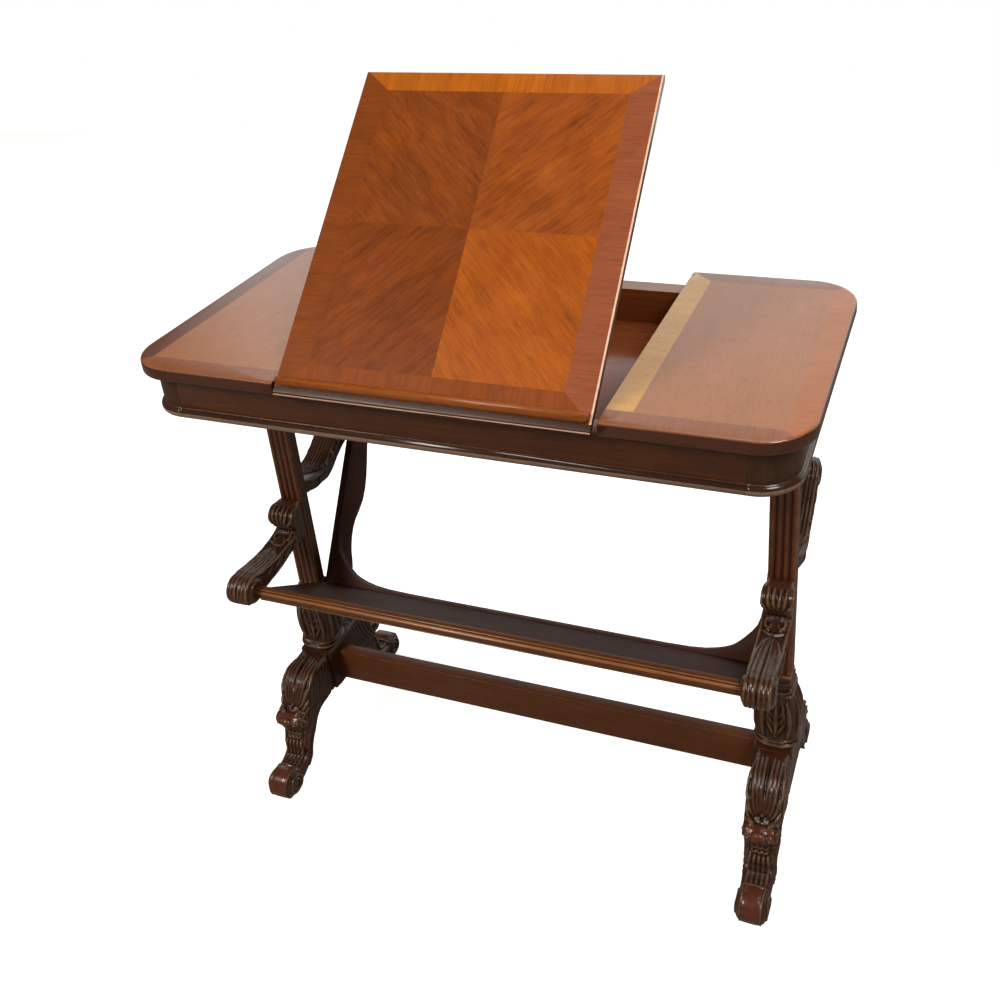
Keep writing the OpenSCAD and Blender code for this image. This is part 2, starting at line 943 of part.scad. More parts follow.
module barrel(x, w) {
  translate([x, hinge_y, hinge_z]) rotate([0, 90, 0]) cylinder(r = barrel_r, h = w, center = true);
}

module barrel_clear(x, w) {
  translate([x, hinge_y, hinge_z])
    rotate([0, 90, 0]) cylinder(r = barrel_r + barrel_room / 2, h = w, center = true);
}

module leaf_screws_at(z0, up) {
  for (x = [-17, 0, 17])
    translate([x, leaf_back_y - 8, z0])
      scale([1, 1, up]) {
        cylinder(r = leaf_screw_r, h = leaf_screw_length);
        cylinder(r = leaf_screw_head, h = 1.2);
      }
}

module table_leaf_recess() {
  for (x = leaf_spots)
    translate([x, 0, 0]) leaf_plate(rail_top_z - leaf_thick);
}

module table_leaf_screw_solids() {
  for (x = leaf_spots)
    translate([x, 0, 0]) leaf_screws_at(rail_top_z, -1);
}

module table_leaf() {
  difference() {
    union() {
      difference() {
        leaf_plate(rail_top_z - leaf_thick);
        barrel_clear(0, knuckle + 2 * knuckle_gap);
      }
      for (s = [-1, 1])
        barrel(s * knuckle, knuckle);
    }
    translate([0, hinge_y, hinge_z]) rotate([0, 90, 0]) cylinder(r = pin_r, h = leaf_length + 1, center = true);
    leaf_screws_at(rail_top_z, -1);
  }
}

module left_table_leaf() {
  color(brass) translate([-leaf_x, 0, 0]) table_leaf();
}

module right_table_leaf() {
  color(brass) translate([leaf_x, 0, 0]) table_leaf();
}

module hinge_pins() {
  color(brass)
    for (x = leaf_spots)
      translate([x, hinge_y, hinge_z]) rotate([0, 90, 0]) cylinder(r = pin_r, h = leaf_length, center = true);
}

module table_leaf_screws() {
  color(brass) table_leaf_screw_solids();
}

// Everything that rises is drawn closed and then turned about the hinge line
module raised() {
  translate([0, hinge_y, hinge_z])
    rotate([flap_angle, 0, 0])
      translate([0, -hinge_y, -hinge_z]) children();
}

slope_back = -slope_front + flap_length;
slope_section = concat(
  [for (p = nosing_section(100)) if (p[0] > -50) [-slope_front - p[0], p[1]]],
  arc(slope_back - nose_top_r, top_height - nose_top_r, nose_top_r, 90, 0, 4),
  arc(slope_back - nose_under_r, under_z + nose_under_r, nose_under_r, 0, -90, 4)
);

module reading_slope() {
  color(light_wood)
    raised()
      difference() {
        along_x(flap_width) polygon(slope_section);
        hinge_room();
        for (x = leaf_spots)
          translate([x, 0, 0]) leaf_plate(hinge_z);
        slope_leaf_screw_solids();
        prop_bracket_screw_solids();
      }
}

rest_y = -slope_front + 16;
rest_half = flap_half - 3;
rest_outline = concat(
  [[rest_y - 6, top_height], [rest_y - 6, top_height + rest_height - 6]],
  arc(rest_y, top_height + rest_height - 6, 6, 180, 0, 12),
  [[rest_y + 6, top_height]]
);

module book_rest() {
  color(pale_wood)
    raised()
      intersection() {
        along_x(2 * rest_half) polygon(rest_outline);
        translate([0, 0, top_height - 1])
          linear_extrude(rest_height + 2)
            union() {
              translate([-rest_half + 6, rest_y - 6]) square([2 * rest_half - 12, 12]);
              translate([-rest_half + 6, rest_y]) circle(r = 6);
              translate([rest_half - 6, rest_y]) circle(r = 6);
            }
      }
}

module slope_leaf() {
  difference() {
    union() {
      difference() {
        leaf_plate(hinge_z);
        for (s = [-1, 1])
          barrel_clear(s * knuckle, knuckle + 2 * knuckle_gap);
      }
      barrel(0, knuckle - 2 * knuckle_gap);
    }
    translate([0, hinge_y, hinge_z])
      rotate([0, 90, 0]) cylinder(r = pin_r + pin_clearance, h = leaf_length + 1, center = true);
    leaf_screws_at(hinge_z, 1);
  }
}

module left_slope_leaf() {
  color(brass) raised() translate([-leaf_x, 0, 0]) slope_leaf();
}

module right_slope_leaf() {
  color(brass) raised() translate([leaf_x, 0, 0]) slope_leaf();
}

module slope_leaf_screw_solids() {
  for (x = leaf_spots)
    translate([x, 0, 0]) leaf_screws_at(hinge_z, 1);
}

module slope_leaf_screws() {
  color(brass) raised() slope_leaf_screw_solids();
}

// Brackets under the slope that the prop swings on
lug_y = hinge_y + prop_along;
lug_z = hinge_z - prop_drop;
module prop_bracket() {
  difference() {
    union() {
      translate([lug_inner, lug_y - 14, hinge_z - 3]) cube([lug_w, 28, 3]);
      translate([lug_inner, lug_y - 6, lug_z]) cube([lug_w, 12, prop_drop - 1]);
      translate([lug_inner, lug_y, lug_z]) rotate([0, 90, 0]) cylinder(r = 6, h = lug_w);
    }
    prop_pin_solids();
    prop_bracket_screw_solids();
  }
}

module prop_pin_solids() {
  for (s = [-1, 1])
    translate([s * (strut_x + lug_gap / 2 + lug_w / 2), lug_y, lug_z])
      rotate([0, 90, 0]) cylinder(r = prop_pin_r, h = strut_w + lug_w + lug_gap, center = true);
}

module prop_bracket_screw_solids() {
  for (s = [-1, 1])
    for (y = [-10, 10])
      translate([s * (lug_inner + lug_w / 2), lug_y + y, hinge_z - 3]) {
        cylinder(r = 1.4, h = 12);
        cylinder(r = 2.8, h = 1.2);
      }
}

module left_prop_bracket() {
  color(brass) raised() mirror_left() prop_bracket();
}

module right_prop_bracket() {
  color(brass) raised() prop_bracket();
}

module prop_pins() {
  color(steel) raised() prop_pin_solids();
}

module bracket_screws() {
  color(brass) raised() prop_bracket_screw_solids();
}

// Prop frame, drawn in place from its pivot down to its foot
module prop_strut() {
  difference() {
    translate([strut_x - strut_w / 2, pivot_y, pivot_z])
      rotate([-prop_beta, 0, 0]) {
        translate([0, 0, -strut_h / 2]) cube([strut_w, prop_length, strut_h]);
        rotate([0, 90, 0]) cylinder(r = strut_end_r, h = strut_w);
        translate([0, prop_length, 0]) rotate([0, 90, 0]) cylinder(r = strut_end_r + 2, h = strut_w);
      }
    translate([strut_x, pivot_y, pivot_z])
      rotate([0, 90, 0]) cylinder(r = prop_pin_r + pin_clearance, h = strut_w + 2, center = true);
    translate([strut_x, foot_y, prop_foot_z])
      rotate([0, 90, 0]) cylinder(r = foot_bar_r, h = strut_w + 2, center = true);
  }
}

module left_prop_strut() {
  color(light_wood) mirror_left() prop_strut();
}

module right_prop_strut() {
  color(light_wood) prop_strut();
}

module prop_foot_bar() {
  color(light_wood)
    translate([0, foot_y, prop_foot_z])
      rotate([0, 90, 0]) cylinder(r = foot_bar_r, h = 2 * strut_x + strut_w, center = true);
}

left_top_panel();
right_top_panel();
front_frieze();
back_frieze();
left_frieze();
right_frieze();
front_left_corner();
front_right_corner();
back_left_corner();
back_right_corner();
front_bead();
back_bead();
left_bead();
right_bead();
well_floor();
left_well_wall();
right_well_wall();
left_bearer();
right_bearer();
panel_screws();
left_rack();
right_rack();
left_post();
right_post();
left_vase();
right_vase();
left_foot_block();
right_foot_block();
left_front_leg();
left_rear_leg();
right_front_leg();
right_rear_leg();
left_front_bracket();
right_front_bracket();
left_rear_arm();
right_rear_arm();
stretcher();
stretcher_pegs();
trough_seat();
trough_back();
left_trough_cheek();
right_trough_cheek();
trough_front_rail();
trough_dowels();
left_table_leaf();
right_table_leaf();
hinge_pins();
table_leaf_screws();
reading_slope();
book_rest();
left_slope_leaf();
right_slope_leaf();
slope_leaf_screws();
left_prop_bracket();
right_prop_bracket();
prop_pins();
bracket_screws();
left_prop_strut();
right_prop_strut();
prop_foot_bar();
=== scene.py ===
import math

import bmesh
import bpy
import numpy as np
from mathutils import Matrix, Vector
from mathutils.bvhtree import BVHTree


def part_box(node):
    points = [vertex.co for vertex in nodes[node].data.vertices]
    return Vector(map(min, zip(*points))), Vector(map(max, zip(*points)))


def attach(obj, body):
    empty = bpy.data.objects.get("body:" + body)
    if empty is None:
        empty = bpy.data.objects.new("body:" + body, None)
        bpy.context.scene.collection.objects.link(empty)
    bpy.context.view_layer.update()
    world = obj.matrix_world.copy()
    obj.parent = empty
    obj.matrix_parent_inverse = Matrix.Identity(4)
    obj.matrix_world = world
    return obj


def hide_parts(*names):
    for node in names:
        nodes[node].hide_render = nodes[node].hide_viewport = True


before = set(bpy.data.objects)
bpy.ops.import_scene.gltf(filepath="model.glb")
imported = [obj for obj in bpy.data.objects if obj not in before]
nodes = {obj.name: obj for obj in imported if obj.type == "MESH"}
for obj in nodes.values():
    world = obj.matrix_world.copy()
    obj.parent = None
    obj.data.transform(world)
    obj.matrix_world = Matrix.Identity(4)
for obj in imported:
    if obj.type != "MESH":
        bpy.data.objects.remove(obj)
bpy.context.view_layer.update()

mm = 0.001

# Foot blocks, one under each post, which the two legs and the stretcher are tenoned into.
# Squared mahogany, drawn in a little on the outer side and rounded below at the front and back.
# Stained nearly black in the hollows, and rubbed to a red brown where hands and shoes reach.


def tone(red, green, blue):
    """Colour of a finish as it is seen, turned into the values that a shader takes."""
    return tuple((c / 255 / 12.92 if c <= 10 else ((c / 255 + 0.055) / 1.055) ** 2.4)
                 for c in (red, green, blue)) + (1.0,)


def node_group(name, inputs, outputs):
    """Empty shader group with its sockets, and its two end nodes."""
    group = bpy.data.node_groups.new(name, "ShaderNodeTree")
    for label, kind in inputs:
        group.interface.new_socket(label, in_out="INPUT", socket_type="NodeSocket" + kind)
    for label, kind in outputs:
        group.interface.new_socket(label, in_out="OUTPUT", socket_type="NodeSocket" + kind)
    return group, group.nodes.new("NodeGroupInput"), group.nodes.new("NodeGroupOutput")


def shader_node(tree, kind, inputs, output=0, **settings):
    """New node with its inputs linked or set. Gives the output that is named, or for None the node."""
    node = tree.nodes.new("ShaderNode" + kind)
    for label, value in settings.items():
        setattr(node, label, value)
    for label, value in inputs.items():
        if hasattr(value, "is_output"):
            tree.links.new(value, node.inputs[label])
        else:
            node.inputs[label].default_value = value
    return node if output is None else node.outputs[output]


def noise(tree, vector, scale, detail, rough, warp=0.0):
    return shader_node(tree, "TexNoise", {"Vector": vector, "Scale": scale, "Detail": detail,
                                          "Roughness": rough, "Distortion": warp}, "Fac")


def stretched(tree, vector, along):
    """Coordinates pulled out along X, so that a pattern on them runs with the grain."""
    return shader_node(tree, "VectorMath", {0: vector, 1: (along, 1, 1)}, operation="MULTIPLY")


def ramp(tree, value, low, high, start=0.0, end=1.0):
    return shader_node(tree, "MapRange", {"Value": value, "From Min": low, "From Max": high,
                                          "To Min": start, "To Max": end}, "Result")


def maths(tree, kind, first, second):
    return shader_node(tree, "Math", {0: first, 1: second}, operation=kind)


def blend_colours(tree, share, first, second):
    """Mix of two colours. Sockets 6 and 7 are the mix node's colours, and output 2 is their mix."""
    return shader_node(tree, "Mix", {0: share, 6: first, 7: second}, 2, data_type="RGBA")


# Mahogany grain: long fibres, broad streaks and short dark pores, all running along X.
grain, given, result = node_group(
    "Mahogany grain",
    [("Vector", "Vector"), ("Light", "Color"), ("Dark", "Color"), ("Pore", "Color"), ("Fibres", "Float"),
     ("Streaks", "Float"), ("Contrast", "Float")],
    [("Color", "Color"), ("Height", "Float")])
where = given.outputs["Vector"]
fibre = noise(grain, stretched(grain, where, 0.045), given.outputs["Fibres"], 5, 0.62)
streak = noise(grain, stretched(grain, where, 0.12), given.outputs["Streaks"], 3, 0.5, 0.6)
cloud = noise(grain, stretched(grain, where, 0.6), 24.0, 5, 0.62, 0.8)
pore = ramp(grain, noise(grain, stretched(grain, where, 0.035), 1500.0, 2, 0.5), 0.60, 0.70)
mixed = maths(grain, "ADD", maths(grain, "MULTIPLY", fibre, 0.48), maths(grain, "MULTIPLY", streak, 0.24))
mixed = maths(grain, "ADD", mixed, maths(grain, "MULTIPLY", cloud, 0.28))
mixed = maths(grain, "MULTIPLY", maths(grain, "SUBTRACT", mixed, 0.5), given.outputs["Contrast"])
mixed = ramp(grain, maths(grain, "ADD", mixed, 0.5), 0.1, 0.9)
body = blend_colours(grain, mixed, given.outputs["Dark"], given.outputs["Light"])
body = blend_colours(grain, maths(grain, "MULTIPLY", pore, 0.55), body, given.outputs["Pore"])
height = maths(grain, "SUBTRACT", maths(grain, "MULTIPLY", fibre, 0.5), maths(grain, "MULTIPLY", pore, 0.5))
grain.links.new(body, result.inputs["Color"])
grain.links.new(height, result.inputs["Height"])

# Age and light: polish worn through on the ridges under a painted highlight, wax and dirt left in the hollows under
# painted shade, and a little dust over all.
rub_and_light_group, given, result = node_group(
    "Rubbing, grime and painted light",
    [("Vector", "Vector"), ("Relief", "Float"), ("Rubbed and lit from", "Float"), ("Grimy and shaded from", "Float")],
    [("Rubbed and lit", "Float"), ("Grimy and shaded", "Float"), ("Dust", "Float")])
where, relief = given.outputs["Vector"], given.outputs["Relief"]
patch = noise(rub_and_light_group, where, 55.0, 4, 0.6)
rubbed_and_lit = maths(rub_and_light_group, "SUBTRACT", relief, given.outputs["Rubbed and lit from"])
rubbed_and_lit = maths(rub_and_light_group, "MULTIPLY", ramp(rub_and_light_group, rubbed_and_lit, 0.0, 0.35), ramp(rub_and_light_group, patch, 0.36, 0.62, 0.35, 1.0))
grimy_and_shaded = maths(rub_and_light_group, "SUBTRACT", maths(rub_and_light_group, "MULTIPLY", relief, -1.0), given.outputs["Grimy and shaded from"])
grimy_and_shaded = maths(rub_and_light_group, "MULTIPLY", ramp(rub_and_light_group, grimy_and_shaded, 0.0, 0.35), ramp(rub_and_light_group, patch, 0.3, 0.7, 1.0, 0.7))
rub_and_light_group.links.new(rubbed_and_lit, result.inputs["Rubbed and lit"])
rub_and_light_group.links.new(grimy_and_shaded, result.inputs["Grimy and shaded"])
rub_and_light_group.links.new(ramp(rub_and_light_group, noise(rub_and_light_group, where, 14.0, 5, 0.65), 0.35, 0.75), result.inputs["Dust"])

# Turns that bring an axis of the table onto the grain's X.
ALONG = {"x": (0, 0, 0), "y": (0, 0, -math.pi / 2), "z": (0, math.pi / 2, 0)}


def emptied(owner):
    """Node tree of a material or of the world, with nothing in it yet."""
    owner.use_nodes = True
    owner.node_tree.nodes.clear()
    return owner.node_tree


def wood(name, light, dark, pore=(40, 18, 10), along="x", turn=None, place=(0, 0, 0), fibres=420.0, streaks=60.0,
         contrast=1.6, rough=(0.30, 0.42), polish=0.1, bump=0.12, rubbed_and_lit=(178, 116, 66), grime_and_shade=(20, 12, 8),
         rubbed_and_lit_from=0.12, grimy_and_shaded_from=0.10, specular=0.32):
    """Polished wood whose grain runs along an axis, or along X after the turn that is given."""
    material = bpy.data.materials.new(name)
    tree = emptied(material)
    where = shader_node(tree, "TexCoord", {}, "Object")
    on_grain = shader_node(tree, "Mapping", {"Vector": where, "Rotation": turn or ALONG[along], "Location": place})
    figure = shader_node(tree, "Group", {
        "Vector": on_grain, "Light": tone(*light), "Dark": tone(*dark), "Pore": tone(*pore), "Fibres": fibres,
        "Streaks": streaks, "Contrast": contrast}, None, node_tree=grain)
    # Where a piece stores its relief, ridges take the worn colour and hollows the dirt colour: real wear and wax,
    # with painted highlight and painted shade over them.
    relief = shader_node(tree, "Attribute", {}, "Fac", attribute_name="relief")
    rubbing_and_light = shader_node(tree, "Group", {"Vector": where, "Relief": relief, "Rubbed and lit from": rubbed_and_lit_from,
                                       "Grimy and shaded from": grimy_and_shaded_from}, None, node_tree=rub_and_light_group)
    colour = blend_colours(tree, rubbing_and_light.outputs["Rubbed and lit"], figure.outputs["Color"], tone(*rubbed_and_lit))
    colour = blend_colours(tree, rubbing_and_light.outputs["Grimy and shaded"], colour, tone(*grime_and_shade))
    normal = shader_node(tree, "Bump", {"Strength": bump, "Distance": 0.4 * mm, "Height": figure.outputs["Height"]})
    skin = shader_node(tree, "BsdfPrincipled", {
        "Base Color": colour, "Roughness": ramp(tree, rubbing_and_light.outputs["Dust"], 0, 1, *rough), "Normal": normal,
        "Coat Weight": polish, "Coat Roughness": 0.14, "Specular IOR Level": specular})
    shader_node(tree, "OutputMaterial", {"Surface": skin}, None)
    return material


def shown(name, data):
    """Object in the scene for a mesh, a lamp or a camera."""
    thing = bpy.data.objects.new(name, data)
    bpy.context.scene.collection.objects.link(thing)
    return thing


def copy_of(node, name=None):
    """Editable copy of a node's mesh with its loose triangles joined, named after the node."""
    name = name or node.replace("_", "-")
    mesh = nodes[node].data.copy()
    mesh.name = name
    mesh.materials.clear()
    work = bmesh.new()
    work.from_mesh(mesh)
    bmesh.ops.remove_doubles(work, verts=work.verts, dist=0.01 * mm)
    bmesh.ops.dissolve_degenerate(work, edges=work.edges, dist=0.005 * mm)
    work.to_mesh(mesh)
    work.free()
    return shown(name, mesh)


def settled(piece):
    """The piece with its modifiers turned into plain mesh."""
    graph = bpy.context.evaluated_depsgraph_get()
    mesh = bpy.data.meshes.new_from_object(piece.evaluated_get(graph), depsgraph=graph)
    piece.modifiers.clear()
    piece.data = mesh
    return piece


def remeshed(piece, size):
    grid = piece.modifiers.new("Carving grid", "REMESH")
    grid.mode = "VOXEL"
    grid.voxel_size = size * mm
    return settled(piece)


def painted(piece, *finishes):
    """The piece in these finishes and no others."""
    piece.data.materials.clear()
    for finish in finishes:
        piece.data.materials.append(finish)
    return piece


def smooth(piece, angle):
    mesh = piece.data
    mesh.polygons.foreach_set("use_smooth", [True] * len(mesh.polygons))
    mesh.set_sharp_from_angle(angle=math.radians(angle))
    mesh.update()
    return piece


def fixed(piece, body, node):
    """The piece rides on its body and stands for the node that it was made from."""
    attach(piece, body)
    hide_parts(node)


block_wood = wood("Stained block", (84, 46, 26), (42, 23, 13), along="z", rough=(0.34, 0.5), polish=0.08,
                  fibres=380, rubbed_and_lit=(120, 82, 54))
block_flat, block_pull, block_round = 20, 0.55, 16
for side, s in (("left", -1), ("right", 1)):
    low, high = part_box(side + "_foot_block")
    middle, end_y, foot_z = (low.x + high.x) / 2, high.y / mm, low.z / mm
    block = remeshed(copy_of(side + "_foot_block"), 1.5)
    for point in block.data.vertices:
        out = (point.co.x - middle) * s / mm
        if out > block_flat:
            point.co.x -= (out - block_flat) * block_pull * s * mm
        past, under = abs(point.co.y) / mm - end_y + block_round, foot_z + block_round - point.co.z / mm
        if past > 0 and under > 0:
            share = max(past, under) / math.hypot(past, under)
            point.co.y = math.copysign((end_y - block_round + past * share) * mm, point.co.y)
            point.co.z = (foot_z + block_round - under * share) * mm
    fixed(smooth(painted(block, block_wood), 40), "table", side + "_foot_block")

# Legs, two to a trestle, each cut from one plank and carved by hand.
# An acanthus leaf runs over the knee to a small boss and a rolled cabochon, a short leaf hangs on the shin,
# and the foot is a smooth rolled barrel. Ridges are rubbed bright under a painted highlight, and the hollows hold
# old wax darkened further by painted shade.


def neighbour_mean(mesh, values):
    """Mean of each vertex's neighbours, for every column of the values."""
    count = len(mesh.vertices)
    edges = np.empty(len(mesh.edges) * 2, np.int64)
    mesh.edges.foreach_get("vertices", edges)
    a, b = edges[0::2], edges[1::2]
    degree = np.maximum(np.bincount(a, minlength=count) + np.bincount(b, minlength=count), 1)
    total = np.stack([np.bincount(a, values[b, k], count) + np.bincount(b, values[a, k], count)
                      for k in range(values.shape[1])], axis=1)
    return total / degree[:, None]


def places(piece):
    co = np.empty(len(piece.data.vertices) * 3)
    piece.data.vertices.foreach_get("co", co)
    return co.reshape(-1, 3)


def reshaped(piece, co):
    piece.data.vertices.foreach_set("co", co.ravel())
    piece.data.update()
    return piece


def soften(piece, rounds, held=None):
    """Evens the surface out, and holds back where the weight that is given is below one."""
    co = places(piece)
    free = np.ones(len(co)) if held is None else held(co / mm)
    for _ in range(rounds):
        co += 0.5 * free[:, None] * (neighbour_mean(piece.data, co) - co)
    return reshaped(piece, co)


def with_relief(piece, reach=9):
    """Stores how far each point stands out of the surface round it, in millimetres."""
    mesh = piece.data
    co = flat = places(piece)
    for _ in range(reach):
        flat = neighbour_mean(mesh, flat)
    normals = np.empty(len(co) * 3)
    mesh.vertex_normals.foreach_get("vector", normals)
    height = ((co - flat) * normals.reshape(-1, 3)).sum(axis=1) / mm
    mesh.attributes.new("relief", "FLOAT", "POINT").data.foreach_set("value", height)
    return piece


# Ribs of the carving: a tube along each drawn line, as thick at each point as the line says.
ribs = bpy.data.node_groups.new("Carved ribs", "GeometryNodeTree")
ribs.interface.new_socket("Geometry", in_out="INPUT", socket_type="NodeSocketGeometry")
rib_sides, rib_thickness, rib_finish = (
    ribs.interface.new_socket(label, in_out="INPUT", socket_type="NodeSocket" + kind).identifier
    for label, kind in (("Sides", "Int"), ("Thickness", "Float"), ("Finish", "Material")))
ribs.interface.new_socket("Geometry", in_out="OUTPUT", socket_type="NodeSocketGeometry")
given, result = ribs.nodes.new("NodeGroupInput"), ribs.nodes.new("NodeGroupOutput")
line, ring, tube, thick, plain, stain = (ribs.nodes.new("GeometryNode" + kind) for kind in (
    "MeshToCurve", "CurvePrimitiveCircle", "CurveToMesh", "InputNamedAttribute", "RealizeInstances", "SetMaterial"))
thick.data_type = "FLOAT"
thick.inputs["Name"].default_value = "rib"
tube.inputs["Fill Caps"].default_value = True
for source, target in ((given.outputs["Geometry"], line.inputs[0]), (line.outputs[0], tube.inputs["Curve"]),
                       (given.outputs["Sides"], ring.inputs["Resolution"]),
                       (given.outputs["Thickness"], ring.inputs["Radius"]),
                       (ring.outputs["Curve"], tube.inputs["Profile Curve"]),
                       (thick.outputs["Attribute"], tube.inputs["Scale"]),
                       (tube.outputs[0], plain.inputs[0]), (plain.outputs[0], stain.inputs[0]),
                       (given.outputs["Finish"], stain.inputs["Material"]),
                       (stain.outputs[0], result.inputs[0])):
    ribs.links.new(source, target)


def curve_through(points, steps=6):
    """Smooth run of places (x, y, z, thickness) through the given ones."""
    p = np.array([points[0]] + list(points) + [points[-1]], float)
    run = []
    for i in range(1, len(p) - 2):
        for t in np.linspace(0, 1, steps, endpoint=False):
            run.append(0.5 * (2 * p[i] + (p[i + 1] - p[i - 1]) * t
                              + (2 * p[i - 1] - 5 * p[i] + 4 * p[i + 1] - p[i + 2]) * t ** 2
                              + (3 * p[i] - p[i - 1] - 3 * p[i + 1] + p[i + 2]) * t ** 3))
    run.append(p[-2])
    return run


def surface_of(piece):
    return BVHTree.FromObject(piece, bpy.context.evaluated_depsgraph_get())


def tubes(name, lines, finish, blank, rise):
    """Ribs along the lines, laid on the blank's surface. Places are in millimetres."""
    surface = surface_of(blank)
    verts, edges, radii = [], [], []
    for path in lines:
        first = len(verts)
        for x, y, z, r in curve_through(path):
            near, normal, _, _ = surface.find_nearest(Vector((x, y, z)) * mm)
            verts.append(near + normal * rise * r * mm)
            radii.append(max(r, 0.35) * mm)
        edges += [(i, i + 1) for i in range(first, len(verts) - 1)]
    mesh = bpy.data.meshes.new(name)
    mesh.from_pydata(verts, edges, [])
    mesh.attributes.new("rib", "FLOAT", "POINT").data.foreach_set("value", radii)
    piece = shown(name, mesh)
    made = piece.modifiers.new("Ribs", "NODES")
    made.node_group = ribs
    made[rib_sides], made[rib_thickness], made[rib_finish] = 8, 1.0, finish
    return settled(piece)


def drop(centre, radii, detail=2):
    """Rounded bead or cabochon as bare mesh data, in millimetres."""
    work = bmesh.new()
    bmesh.ops.create_icosphere(work, subdivisions=detail, radius=1.0)
    bmesh.ops.scale(work, vec=Vector(radii) * mm, verts=work.verts)
    bmesh.ops.translate(work, vec=Vector(centre) * mm, verts=work.verts)
    mesh = bpy.data.meshes.new("bead")
    work.to_mesh(mesh)
    work.free()
    return mesh


def carved(name, blank, lines, beads, grid, rise, limits):
    """Blank, ribs and beads fused into one carved skin, eased once, with its relief stored."""
    drawn = tubes(name + "-ribs", lines, carved_wood, blank, rise)
    work = bmesh.new()
    for mesh in [blank.data, drawn.data] + beads:
        work.from_mesh(mesh)
    mesh = bpy.data.meshes.new(name)
    work.to_mesh(mesh)
    work.free()
    for used in (drawn, blank):
        bpy.data.objects.remove(used)
    piece = soften(remeshed(shown(name, mesh), grid), 2)
    reshaped(piece, np.clip(places(piece), np.array(limits[0]) * mm, np.array(limits[1]) * mm))
    painted(piece, carved_wood).data.polygons.foreach_set("use_smooth", [True] * len(piece.data.polygons))
    piece.data.update()
    return with_relief(piece)


def blank_of(node, size, height=0.0):
    """Copy of a node in the middle of the table, on an even grid that can be carved."""
    piece = copy_of(node, node + "-blank")
    piece.data.transform(Matrix.Translation(Vector((-trestle_x, 0, -height)) * mm))
    return remeshed(piece, size)


def at_trestles(piece, turns, height=0.0, handed=False):
    """Twins of a carved piece at both trestles, by node and turn, mirrored on the left where it has a hand."""
    for side, s in (("left", -1), ("right", 1)):
        place = Matrix.Translation((s * trestle_x * mm, 0, height * mm))
        if handed and side == "left":
            place = place @ Matrix.Scale(-1, 4, (1, 0, 0))
        for end, turn in turns.items():
            node = side + end
            twin = shown(node.replace("_", "-"), piece.data.copy())
            twin.data.transform(place @ turn)
            if place.determinant() < 0:
                twin.data.flip_normals()
            fixed(twin, "table", node)
    bpy.data.objects.remove(piece)


def mirrored(lines):
    """The lines of the right half with their twins on the left."""
    return [[(-x, y, z, r) for x, y, z, r in path] for path in lines] + lines


def ring_of(x, y, z, radius, thick, count=17, start=0.0, end=2 * math.pi):
    """Ring, or part of one, round an axis along X."""
    return [(x, y + radius * math.cos(a), z + radius * math.sin(a), thick) for a in np.linspace(start, end, count)]


low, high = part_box("right_post")
trestle_x = round((low.x + high.x) / 2 / mm, 2)
# Its ridges go paler and its hollows nearly black: wear and old wax, with painted highlight and painted shade on
# top.
carved_wood = wood("Carved mahogany", (84, 42, 23), (38, 20, 11), along="z", fibres=300, streaks=90, contrast=1.4,
                   rough=(0.3, 0.46), polish=0.24, bump=0.08, specular=0.42, rubbed_and_lit=(112, 82, 50), grime_and_shade=(9, 6, 4),
                   rubbed_and_lit_from=0.14, grimy_and_shaded_from=0.02)
leg_joint, knee_half = -33, 21.5
roll_y, roll_z = -117, 110
waist_y, waist_z, waist_reach, waist_pinch = -96, 66, 26, 0.13
solid_toe_y, solid_toe_r = -159, 27
toe_y, toe_r, toe_scale, toe_zone = -162.2, 23.8, 0.88, 46

# The blank: knee and shin evened out, the waist drawn in, and the toe made smaller and barrelled.
leg_blank = soften(blank_of("right_front_leg", 2.0), 14, lambda p: np.clip((leg_joint - p[:, 1]) / 8, 0, 1))
co = places(leg_blank) / mm
waist = np.clip(1 - ((co[:, 2] - waist_z) / waist_reach) ** 2, 0, 1) * np.clip((waist_y - co[:, 1]) / 14, 0, 1)
co[:, 0] *= 1 - waist_pinch * waist
near_toe = np.clip((toe_zone - np.hypot(co[:, 1] - solid_toe_y, co[:, 2] - solid_toe_r)) / 18, 0, 1)
near_toe = near_toe ** 2 * (3 - 2 * near_toe)
co[:, 1] += near_toe * (toe_y + toe_scale * (co[:, 1] - solid_toe_y) - co[:, 1])
co[:, 2] += near_toe * (toe_r + toe_scale * (co[:, 2] - solid_toe_r) - co[:, 2])
co[:, 0] *= 1 - 0.06 * near_toe
on_toe = np.hypot(co[:, 1] - toe_y, co[:, 2] - toe_r) < toe_r + 2
barrel = 1 - 0.18 * np.clip((np.abs(co[:, 0]) - 6) / 14, 0, 1) ** 2 * on_toe
co[:, 1] = toe_y + (co[:, 1] - toe_y) * barrel
co[:, 2] = toe_r + (co[:, 2] - toe_r) * barrel
reshaped(leg_blank, co * mm)

